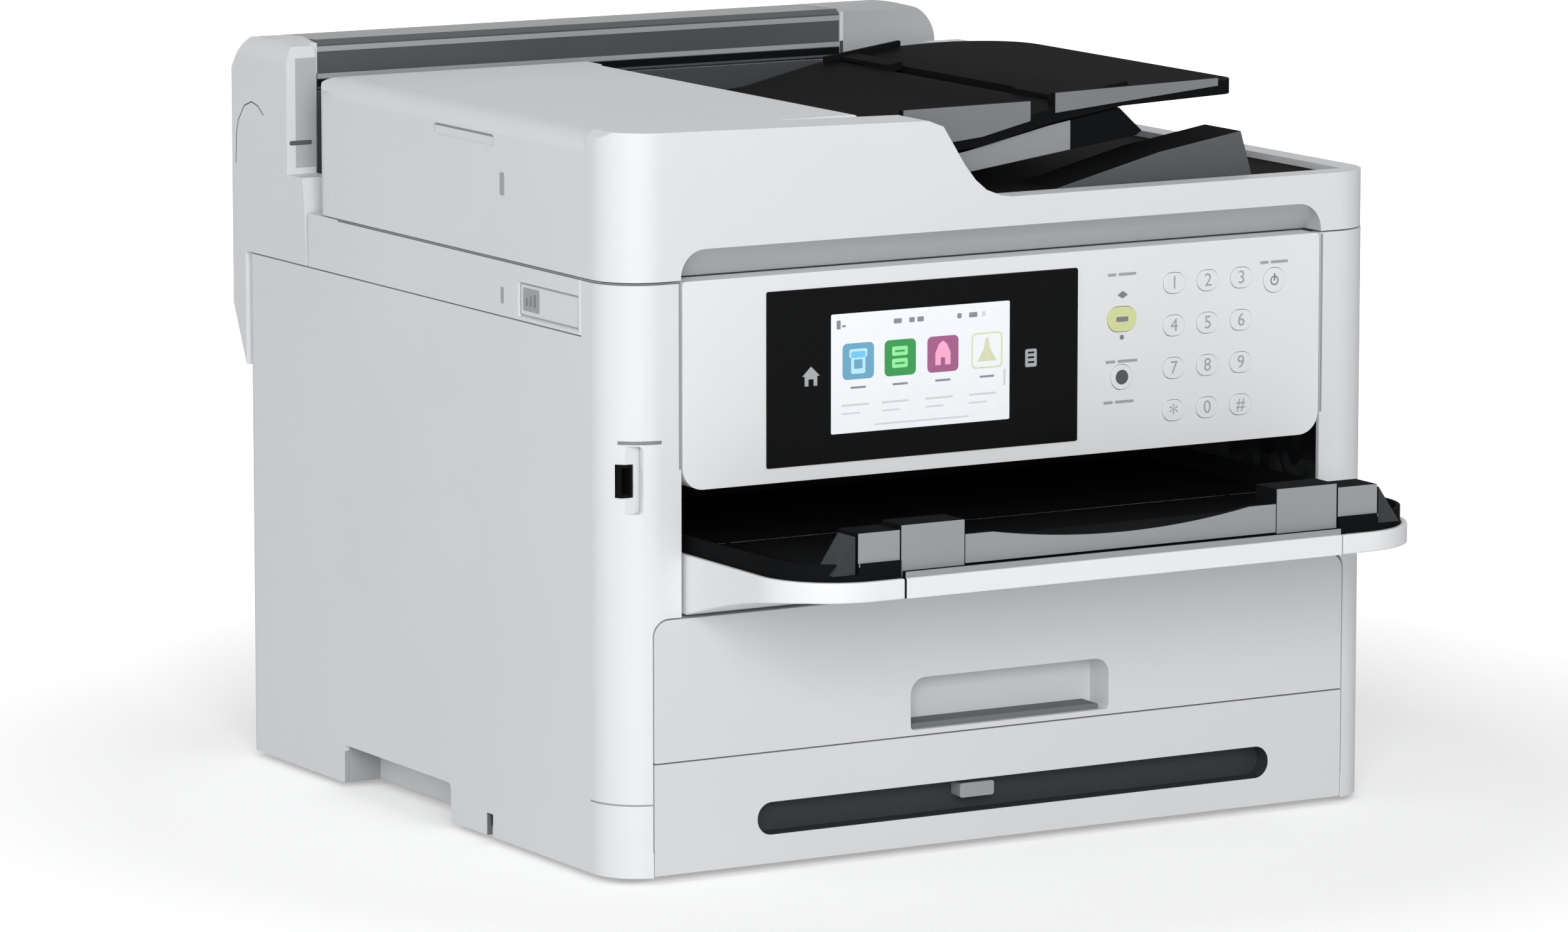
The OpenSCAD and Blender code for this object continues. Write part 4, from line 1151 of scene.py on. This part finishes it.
@dataclass
class RearDetails:
    """The louvres of the rear panel and the ribs of the rear cover, in millimetres."""

    # Face of the rear panel, and how far the slots and their rims lie before and behind it
    panel: float = from_frame("left_cover", Side.REAR)
    vent_depths: Span = (-0.5, 0.05)
    rim_depths: Span = (-0.5, 0.5)
    vents: int = 16
    vent_x: float = -64.0
    vent_pitch: float = 8.0
    vent_half: float = 2.0
    vent_rows: Span = (150.0, 180.0)
    rim: float = 0.7
    ribs: int = 9
    rib_x: float = -96.0
    rib_pitch: float = 24.0
    rib_rows: Span = (66.0, 112.0)
    rib_depths: Span = (427.0, 428.0)
    pull: Rect = (-34, 34, 116, 119)
    pull_depths: Span = (418.0, 422.5)

    def build(self) -> None:
        """Builds the slots with their rims, the ribs and the pull bar."""
        slots, rims, ribs = bmesh.new(), bmesh.new(), bmesh.new()
        low, high = self.vent_rows
        for i in range(self.vents):
            x, half, rim = self.vent_x + i * self.vent_pitch, self.vent_half, self.rim
            outer = rounded_outline(x - half, x + half, low, high, 1.9)
            inner = rounded_outline(x - half + rim, x + half - rim, low + rim, high - rim, 1.2)
            prism(slots, inner, Facing.FRONT, *(self.panel + d for d in self.vent_depths))
            ring(rims, outer, inner, Facing.FRONT, *(self.panel + d for d in self.rim_depths))
        # The slots are flat charcoal plates of painted shade, standing for the openings
        publish("rear_vent_slot_shade", slots, Shop.SLOT, "chassis")
        publish("rear_vent_rims", rims, Shop.BASE, "chassis")
        for i in range(self.ribs):
            x = self.rib_x + i * self.rib_pitch
            prism(ribs, rounded_outline(x - 1, x + 1, *self.rib_rows, 0.9), Facing.FRONT,
                  *self.rib_depths)
        prism(ribs, rounded_outline(*self.pull, 1.4), Facing.FRONT, *self.pull_depths)
        publish("rear_cover_ribs", ribs, Shop.COVER, "rear_door")


@dataclass
class Works:
    """The frame and the mechanism inside, most of which shows only when it is open."""

    # CAD node, finish, radius of its edges in millimetres, and the faces across them
    pieces: tuple[tuple[str, Finish, float, int], ...] = (
        ("chassis_frame", Shop.STEEL, 0.2, 1),
        ("guide_rail", Shop.STEEL, 0.2, 1),
        ("power_supply", Shop.STEEL, 0.2, 1),
        ("platen", Shop.DARK, 0.3, 2),
        ("print_carriage", Shop.DARK, 0.3, 2),
        ("ink_tray", Shop.DARK, 0.3, 2),
        ("scan_carriage", Shop.DARK, 0.3, 2),
        ("main_board", Shop.BOARD, 0.0, 2),
        ("ink_pack", Shop.FILM, 2.0, 3),
        ("feed_roller", Shop.ROLLER, 0.2, 2),
        ("adf_roller", Shop.ROLLER, 0.2, 2),
        ("scanner_glass", Shop.PANE, 0.2, 1),
        ("backing_mat", Shop.FOAM, 0.3, 1),
    )

    def build(self, frame: dict) -> None:
        """Dresses the pieces inside.
        """
        for node, finish, radius, segments in self.pieces:
            Shell(node, finish, radius, segments).build(frame)


@dataclass
class PaperPath:
    """Drawers, output bay and output tray."""

    slot_x: Span = (-137.0, 150.0)
    slot_z: Span = (17.5, 33.0)
    handle_x: Span = (-53.0, 58.0)
    handle_foot: float = 58.0
    # Painted shade along the lip in the handle, with heights over the handle's foot
    slit_z: Span = (2.1, 4.6)
    slit_depths: Span = (3.2, 17.0)
    latch: Rect = (-25, -6, 24.3, 31.2)
    latch_depths: Span = (1.2, 9.9)
    latch_draft: float = 0.4
    # Front of the output tray, and the half widths of its extension and its stop
    lip: float = from_frame("output_tray", Side.FRONT)
    ext_half: float = from_frame("tray_extension", Side.RIGHT)
    stop_half: float = 85.5
    stop_z: Span = (150.0, 180.0)
    extension_rim_z: Span = (140.0, 155.3)
    extension_face_z: Span = (154.8, 182.0)
    # The grey blocks beside the extension, and their wedge-shaped ends
    block_w: float = 26.0
    block_z: Span = (161.5, 182.0)
    wedge: tuple[Point2, ...] = ((144.2, 158), (156, 158), (144.2, 175.5))
    wedge_depths: Span = (5.5, 21.0)
    # Ribs under the printed sheets
    ribs: int = 9
    rib_x: float = -140.0
    rib_pitch: float = 35.0
    rib_half: float = 0.6
    rib_depths: Span = (-60.0, 110.0)
    rib_rows: Span = (153.6, 154.6)

    def build(self, frame: dict) -> None:
        """Builds the pieces that hold paper.
        """
        x0, x1 = self.slot_x
        z0, z1 = self.slot_z
        # The inside of the ink cover's slot is painted shade, in charcoal
        Shell("ink_cover", Shop.DRAWER, radius=0.6, zones=(
            Zone(Shop.SLOT, (x0 - 1, 0.3, z0 - 1), (x1 + 1, 12, z1 + 1)),
        )).build(frame)
        Shell("cassette_front", Shop.DRAWER, radius=0.8).build(frame)
        Shell("cassette_tray", Shop.DARK, radius=0.3).build(frame)
        for node in ("guide_left", "guide_right", "length_guide"):
            Shell(node, Shop.GREY, radius=0.3).build(frame)
        half, stop, lip = self.ext_half, self.stop_half, self.lip
        low, high = self.stop_z
        Shell("paper_stopper", Shop.BLACK, radius=0.3, zones=(
            Zone(Shop.GREY, (-stop - 1, lip + 4, low), (stop + 1, lip + 6, high), FORWARD),
        )).build(frame)
        Shell("lift_plate", Shop.STEEL, radius=0.2, segments=1).build(frame)
        Shell("output_bay", Shop.BLACK, radius=0.3).build(frame)
        Shell("output_tray", Shop.FRONT, radius=0.8).build(frame)
        low, high = self.block_z
        Shell("tray_liner", Shop.BLACK, radius=0.5, zones=tuple(
            Zone(Shop.GREY, (x, lip + 4, low), (x + self.block_w, lip + 7, high), FORWARD, cut=True)
            for x in (half, -half - self.block_w)
        )).build(frame)
        (rim_low, rim_high), (low, high) = self.extension_rim_z, self.extension_face_z
        Shell("tray_extension", Shop.BLACK, radius=0.4, zones=(
            Zone(Shop.FRONT, (-half - 1, lip - 1, rim_low), (half + 1, lip + 8, rim_high)),
            Zone(Shop.GREY, (-half - 1, lip + 0.5, low), (half + 1, lip + 7, high), FORWARD),
        )).build(frame)
        self.drawer_details()
        self.tray_details()

    def drawer_details(self) -> None:
        """Adds the latch tab of the ink cover and the painted shade along the lip of the handle."""
        tab, slit = bmesh.new(), bmesh.new()
        prism(tab, rounded_outline(*self.latch, 1.2), Facing.FRONT, *self.latch_depths,
              self.latch_draft)
        publish("ink_cover_latch", tab, Shop.GREY, "ink_door")
        x0, x1 = self.handle_x
        low, high = (self.handle_foot + z for z in self.slit_z)
        prism(slit, rounded_outline(x0 + 1.2, x1 - 4, low, high, 0.8), Facing.FRONT,
              *self.slit_depths)
        publish("cassette_handle_slit", slit, Shop.GAP, "cassette")

    def tray_details(self) -> None:
        """Adds the wedges at the ends of the grey blocks and the ribs of the tray."""
        wedges, ribs = bmesh.new(), bmesh.new()
        for side in (-1, 1):
            points = [(side * x, z) for x, z in self.wedge]
            prism(wedges, points, Facing.FRONT, *(self.lip + d for d in self.wedge_depths))
        publish("tray_block_wedges", wedges, Shop.SLOT, "chassis")
        half = self.rib_half
        for i in range(self.ribs):
            x = self.rib_x + self.rib_pitch * i
            if abs(x) >= self.ext_half:
                prism(ribs, rounded_outline(x - half, x + half, *self.rib_depths, 0.5), Facing.TOP,
                      *self.rib_rows)
        publish("tray_liner_ribs", ribs, Shop.BLACK, "chassis")


@dataclass
class DocumentFeeder:
    """The scanner's cover with its feeder and document tray."""

    # Finger recess over the panel, painted with shade, and the rounded front left edge of the cover
    recess: Box = ((-178.5, 0.4, 283.8), (178.5, 15.5, 298.6))
    left_crown: Box = ((-213, -1, 340), (-30, 26, 355))
    # Notch in the feeder cover's left end: painted shade on its faces that look forward, and a painted
    # shadow under its top edge
    notch: Box = ((-212.2, 118.5, 336), (-209, 181, 342.5))
    notch_top_shadow: Box = ((-212.2, 118.5, 340.5), (-209, 181, 342.5))
    # Sloping ramp and grey part of the bed, and the rim of the document tray
    ramp: Box = ((36, 28, 306), (165, 32, 334))
    bed_front: Box = ((-50, 42, 312), (62, 46, 345))
    tray_rim: Box = ((-60, 39, 325), (150, 40.8, 360))

    def build(self, frame: dict) -> None:
        """Builds the cover, the bed and the tray.
        """
        Shell("document_cover", Shop.COVER, radius=0.8, zones=(
            Zone(Shop.RECESS, *self.recess),
        ), crowns=(
            Crown(*self.left_crown, radius=3.2),
        )).build(frame)
        Shell("adf_cover", Shop.COVER, radius=0.5, zones=(
            Zone(Shop.CHEEK, *self.notch, FORWARD),
            Zone(Shop.GREY, *self.notch_top_shadow, LEFTWARD, cut=True),
        )).build(frame)
        Shell("document_bed", Shop.BLACK, radius=0.4, zones=(
            Zone(Shop.RAMP, *self.ramp, FORWARD),
            Zone(Shop.GREY, *self.bed_front, FORWARD, cut=True),
        )).build(frame)
        Shell("document_tray", Shop.BLACK, radius=0.4, zones=(
            Zone(Shop.RIM, *self.tray_rim, FORWARD),
        )).build(frame)
        for node in ("document_guide_front", "document_guide_rear"):
            Shell(node, Shop.BLACK, radius=0.4).build(frame)


@dataclass
class ControlPanel:
    """The tilting panel with its display and its keys."""

    glass_face: float = from_frame("panel_glass", Side.FRONT)
    # How far the lit ground and what is drawn on it stand off the glass
    ground_lift: float = 0.05
    drawn_lift: float = 0.08
    screen: Rect = (-97.7, 0.6, 205.7, 262.5)
    # Signs of the status line: left side and width
    status: tuple[Span, ...] = (
        (-63.5, 4.4), (-55, 3), (-50.6, 3.6), (-28.5, 2.4), (-22, 4.6), (-15, 2.2)
    )
    # Tiles of the main functions: their middles and colours, and the height of each row
    tiles: tuple[tuple[float, Finish], ...] = (
        (-82.9, Shop.ICON_BLUE), (-59.9, Shop.ICON_GREEN), (-36.4, Shop.ICON_PLUM)
    )
    tile_half: float = 8.6
    tile_rows: Span = (231.0, 248.2)
    label_rows: Span = (226.6, 227.6)
    list_x: tuple[float, ...] = (-92, -70, -46, -22)
    digits: str = "123456789*0#"
    digit_size: float = 6.4
    star_size: float = 8.0
    star_drop: float = 1.6
    # Printed labels beside the keys: middle across, middle up and width
    labels: tuple[Corner, ...] = ((64, 270.6, 16), (64, 228.6, 18), (62.5, 209, 17), (151, 270.8, 16))
    window_r: float = 3.6

    def build(self, frame: dict) -> None:
        """Builds the panel, its display and its keys.
        """
        Shell("panel_shell", Shop.FRONT, radius=0.6).build(frame)
        Shell("panel_glass", Shop.GLASS_BLACK, radius=0.2).build(frame)
        numbers = ["key_%d" % i for i in range(10)]
        for node in numbers + ["key_star", "key_hash"]:
            Shell(node, Shop.FRONT, radius=0.25).build(frame)
        Shell("start_key", Shop.KEY_GREEN, radius=0.25).build(frame)
        for node in ("stop_key", "power_key"):
            Shell(node, Shop.FRONT, radius=0.25).build(frame)
        self.display()
        self.digit_legends()
        self.panel_legends()
        self.function_legends()

    def level(self, number: int) -> Span:
        """Gives the depths of a layer of what the display shows.

        Args:
            number: How many layers lie under it.

        Returns:
            The depths of its front and its back.
        """
        front = self.glass_face - self.drawn_lift - number * HAIR
        back = front + HAIR if number else self.glass_face
        return front, back

    def display(self) -> None:
        """Draws what the display shows, and the two touch marks beside it."""
        art = Drawing("display", "control_panel")
        art.plate(Shop.SCREEN, *self.screen, self.glass_face - self.ground_lift,
                  self.glass_face + 0.2, 0.8)
        self.status_line(art)
        self.function_tiles(art)
        self.lower_rows(art)
        self.touch_marks(art)
        art.finish()

    def status_line(self, art: Drawing) -> None:
        """Draws the small signs along the top of the display.

        Args:
            art: The display's drawing.
        """
        x0, _, _, top = self.screen
        ink = self.level(0)
        art.plate(Shop.ICON_TEXT, x0 + 3, x0 + 5.2, top - 7.2, top - 3, *ink, 0.4)
        art.plate(Shop.ICON_TEXT, x0 + 6, x0 + 8, top - 6.4, top - 5.4, *ink, 0.3)
        for x, width in self.status:
            tone = Shop.ICON_TEXT if width > 2.3 else Shop.ICON_PALE
            art.plate(tone, x, x + width, top - 6.6, top - 4.2, *ink, 0.5)

    def function_tiles(self, art: Drawing) -> None:
        """Draws the tiles of the main functions with their signs.

        Args:
            art: The display's drawing.
        """
        ink, over, top = self.level(0), self.level(1), self.level(2)
        for x, tile in self.tiles:
            art.plate(tile, x - self.tile_half, x + self.tile_half, *self.tile_rows, *ink, 2.4)
            art.plate(Shop.ICON_TEXT, x - 4.2, x + 4.2, *self.label_rows, *ink, 0.3)
        # Two sheets, one over the other
        art.plate(Shop.ICON_SKY, -86.8, -79.0, 233.6, 244.2, *over, 1.0)
        art.plate(Shop.ICON_BLUE, -85.2, -80.6, 236, 240.4, *top, 0.5)
        art.plate(Shop.ICON_SKY, -87.8, -78.0, 241.2, 245.4, *over, 1.0)
        # Two trays
        for z in (234.8, 240.6):
            art.plate(Shop.ICON_MINT, -64.4, -55.8, z, z + 4.4, *over, 0.8)
            art.plate(Shop.ICON_GREEN, -62.8, -57.4, z + 1.7, z + 2.6, *top, 0.3)
        # An arch with its door
        art.shape(Shop.ICON_PINK, [(-40.6, 234.4), (-32.2, 234.4), (-32.2, 240.2), (-34.2, 244.4),
                                   (-36.4, 246), (-38.6, 244.4), (-40.6, 240.2)], *over)
        art.plate(Shop.ICON_PLUM, -37.6, -35.2, 234.3, 238, *top, 0.4)
        # A framed bell
        ring(art.sheet(Shop.ICON_STRAW), rounded_outline(-20.6, -3.4, *self.tile_rows, 2.4, 4),
             rounded_outline(-19.8, -4.2, 231.8, 247.4, 1.8, 4), Facing.FRONT, *ink)
        art.shape(Shop.ICON_STRAW, [(-17.4, 234.4), (-6.6, 234.4), (-10.2, 240.4), (-11.2, 245.6),
                                    (-12.8, 245.6), (-13.8, 240.4)], *over)
        art.plate(Shop.ICON_TEXT, -16, -8, *self.label_rows, *ink, 0.3)

    def lower_rows(self, art: Drawing) -> None:
        """Draws the pale lines under the tiles.

        Args:
            art: The display's drawing.
        """
        ink, right = self.level(0), self.screen[1]
        for x in self.list_x:
            art.plate(Shop.ICON_PALE, x, x + 15, 218.4, 219.4, *ink, 0.3)
            art.plate(Shop.ICON_PALE, x, x + 10, 214.6, 215.4, *ink, 0.3)
        art.plate(Shop.ICON_PALE, right - 3.4, right - 2.2, 222, 230, *ink, 0.5)
        art.plate(Shop.ICON_PALE, -74, -22, 208.4, 209.2, *ink, 0.3)

    def touch_marks(self, art: Drawing) -> None:
        """Draws the house at the left of the display and the page at its right.

        Args:
            art: The display's drawing.
        """
        face = self.glass_face
        mark, cut = (face - self.ground_lift, face + 0.1), (face - 0.07, face)
        art.shape(Shop.MARK, [(-113.4, 234.2), (-108.6, 238.8), (-103.8, 234.2), (-105.2, 234.2),
                              (-105.2, 229.6), (-112, 229.6), (-112, 234.2)], *mark)
        art.plate(Shop.GLASS_BLACK, -110, -107.2, 229.5, 232.8, *cut, 0.3)
        art.plate(Shop.MARK, 9.4, 15.8, 229.8, 238.4, *mark, 0.8)
        for z in (231.6, 233.9, 236.2):
            art.plate(Shop.GLASS_BLACK, 10.8, 14.4, z, z + 0.9, *cut, 0.3)

    def cap_face(self, node: str) -> Corner:
        """Finds where a legend goes on a key.

        Args:
            node: The key's CAD node.

        Returns:
            The middle of its face across and up, and the depth just in front of it.
        """
        low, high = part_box(node)
        return (low.x + high.x) / 2 / MM, (low.z + high.z) / 2 / MM, (low.y - FRONT_Y) / MM - HAIR

    def digit_legends(self) -> None:
        """Prints the digits, the star and the hash on their keys."""
        for sign in self.digits:
            node = {"*": "key_star", "#": "key_hash"}.get(sign, "key_" + sign)
            x, z, front = self.cap_face(node)
            size = self.digit_size
            if sign == "*":
                z, size = z - self.star_drop, self.star_size
            art = Drawing("legend_" + node, node + "_cap")
            art.text(Shop.INK, sign, x, z, size, front)
            art.finish()

    def panel_legends(self) -> None:
        """Prints the plain marks on the panel, beside its keys."""
        panel = Drawing("panel_legends", "control_panel")
        ink = (-HAIR, 0.3)
        for x, z, width in self.labels:
            left = x - width / 2
            panel.plate(Shop.INK, left, left + width * 0.3, z - 0.7, z + 0.7, *ink, 0.3)
            panel.plate(Shop.INK, left + width * 0.38, x + width / 2, z - 0.7, z + 0.7, *ink, 0.3)
        # Diamond over the start key, and a dot under it
        panel.shape(Shop.DARK_INK_AND_SHADOW, [(61.4, 260.6), (64.4, 262.6), (67.4, 260.6), (64.4, 258.9)], *ink)
        panel.plate(Shop.DARK_INK_AND_SHADOW, 62.9, 65.3, 239, 241.4, *ink, 1.1)
        panel.finish()

    def function_legends(self) -> None:
        """Adds the start key's bar, the stop key's dark window and the power sign."""
        thick = 0.1
        front = self.cap_face("start_key")[2]
        start = Drawing("start_legend", "start_key_cap")
        start.plate(Shop.DARK_INK_AND_SHADOW, 60.6, 67.4, 247.8, 250.2, front, front + thick, 0.6)
        start.finish()
        # The window is set into the stop key's white cap
        stop = Drawing("stop_window", "stop_key_cap")
        x, z, front = self.cap_face("stop_key")
        r = self.window_r
        stop.plate(Shop.KEY_DARK, x - r, x + r, z - r, z + r, front, front + thick, r)
        stop.finish()
        power = Drawing("power_legend", "power_key_cap")
        front = self.cap_face("power_key")[2]
        ring(power.sheet(Shop.DARK_INK_AND_SHADOW), rounded_outline(148.6, 153.4, 259.4, 264.2, 2.39, 6),
             rounded_outline(149.3, 152.7, 260.1, 263.5, 1.69, 6), Facing.FRONT, front, front + thick)
        power.plate(Shop.DARK_INK_AND_SHADOW, 150.6, 151.4, 261.6, 265.4, front - 0.02, front + thick, 0.3)
        power.finish()


# ---- Studio ----


@dataclass(frozen=True)
class Softbox:
    """A square soft lamp that faces the printer, with sizes in metres and watts."""

    name: str
    eye: Corner
    size: float
    power: float
    glossy: bool = True
    aim: Corner = (0.0, 0.0, 0.18)

    def hang(self) -> None:
        """Hangs the lamp and turns it to the printer."""
        light = bpy.data.lights.new(self.name, "AREA")
        light.size = self.size
        light.energy = self.power
        holder = bpy.data.objects.new(self.name, light)
        bpy.context.scene.collection.objects.link(holder)
        holder.location = self.eye
        way = Vector(self.aim) - Vector(self.eye)
        holder.rotation_euler = way.to_track_quat("-Z", "Y").to_euler()
        holder.visible_glossy = self.glossy


@dataclass
class Studio:
    """Pale floor, soft lights, and the camera, with sizes in metres."""

    eye: Corner = (-2.0439, -3.4642, 0.8)
    look: Corner = (0.49645, 0.85376, -0.15693)
    lens: float = 189.8
    sensor: float = 36.0
    view_end: float = 60.0
    floor_half: float = 12.0
    floor_tone: float = 0.86
    # How far from the middle the floor's glow rises to white, and its glow at the near end; the weaker
    # glow near the printer paints the floor darker round it
    lift_reach: Span = (0.35, 1.0)
    lift_near: float = 0.33
    sky_tone: Colour = (0.97, 0.98, 1.0, 1.0)
    sky_strength: float = 0.4
    lamps: tuple[Softbox, ...] = (
        Softbox("softbox_front", (-1.9, -3.6, 1.4), 2.0, 108.0),
        Softbox("softbox_left", (-3.2, -0.4, 1.2), 1.6, 8.0),
        Softbox("softbox_rear", (0.4, 3.4, 0.6), 1.8, 16.0, False),
    )

    def build(self) -> None:
        """Builds the floor, the lights, the sky and the camera."""
        self.floor()
        for lamp in self.lamps:
            lamp.hang()
        self.sky()
        self.camera()
        bpy.context.scene.view_settings.view_transform = "Standard"

    def camera(self) -> None:
        """Sets the camera up."""
        camera = bpy.data.cameras.new("camera")
        camera.lens = self.lens
        camera.sensor_width = self.sensor
        camera.clip_end = self.view_end
        holder = bpy.data.objects.new("camera", camera)
        bpy.context.scene.collection.objects.link(holder)
        holder.location = self.eye
        holder.rotation_euler = Vector(self.look).to_track_quat("-Z", "Y").to_euler()
        bpy.context.scene.camera = holder

    def floor(self) -> None:
        """Lays a pale floor that keeps the shadow and reads white to the camera, with a weaker glow
        that paints it darker near the printer.
        """
        mesh = bmesh.new()
        half = self.floor_half
        mesh.faces.new([mesh.verts.new(p) for p in
                        ((-half, -half, 0), (half, -half, 0), (half, half, 0), (-half, half, 0))])
        data = bpy.data.meshes.new("floor")
        mesh.to_mesh(data)
        mesh.free()
        piece = bpy.data.objects.new("floor", data)
        bpy.context.scene.collection.objects.link(piece)
        made = bpy.data.materials.new("studio_floor")
        made.use_nodes = True
        tree = made.node_tree
        tree.nodes.clear()
        tone = self.floor_tone
        paper = add_node(tree, "BsdfDiffuse", {"Color": (tone, tone, tone, 1.0)})
        place = add_node(tree, "TexCoord").outputs["Object"]
        away = add_node(tree, "VectorMath", None, {0: place}, operation="LENGTH")
        low, high = self.lift_reach
        lift = add_node(
            tree, "MapRange",
            {"From Min": low, "From Max": high, "To Min": self.lift_near, "To Max": 1.0},
            {"Value": away.outputs["Value"]},
        )
        direct = add_node(tree, "LightPath").outputs["Is Camera Ray"]
        seen = add_node(
            tree, "Math", None, {0: lift.outputs["Result"], 1: direct}, operation="MULTIPLY"
        )
        glow = add_node(tree, "Emission", {"Color": (1, 1, 1, 1)}, {"Strength": seen.outputs[0]})
        both = add_node(tree, "AddShader", None, {0: paper.outputs[0], 1: glow.outputs[0]})
        add_node(tree, "OutputMaterial", None, {"Surface": both.outputs[0]})
        data.materials.append(made)

    def sky(self) -> None:
        """Makes the room white to the camera and softly grey to the printer."""
        world = bpy.data.worlds.new("studio")
        bpy.context.scene.world = world
        world.use_nodes = True
        tree = world.node_tree
        tree.nodes.clear()
        path = add_node(tree, "LightPath").outputs
        direct = add_node(
            tree, "Math", None, {0: path["Is Camera Ray"], 1: path["Is Glossy Ray"]},
            operation="MAXIMUM",
        )
        seen = add_node(
            tree, "Math", None, {0: direct.outputs[0], 1: path["Is Transmission Ray"]},
            operation="MAXIMUM",
        )
        soft = add_node(tree, "Background", {"Color": self.sky_tone, "Strength": self.sky_strength})
        white = add_node(tree, "Background", {"Color": (1, 1, 1, 1), "Strength": 1.0})
        mix = add_node(
            tree, "MixShader", None,
            {0: seen.outputs[0], 1: soft.outputs[0], 2: white.outputs[0]},
        )
        add_node(tree, "OutputWorld", None, {"Surface": mix.outputs[0]})


def main() -> None:
    """Builds the printer's looks and the studio."""
    logging.basicConfig(level=logging.INFO, format="%(name)s: %(message)s")
    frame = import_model()
    for group in (Casing(), Works(), PaperPath(), DocumentFeeder(), ControlPanel()):
        group.build(frame)
        LOG.info("built %s", type(group).__name__)
    Studio().build()
    bpy.context.view_layer.update()


if __name__ == "__main__":
    main()
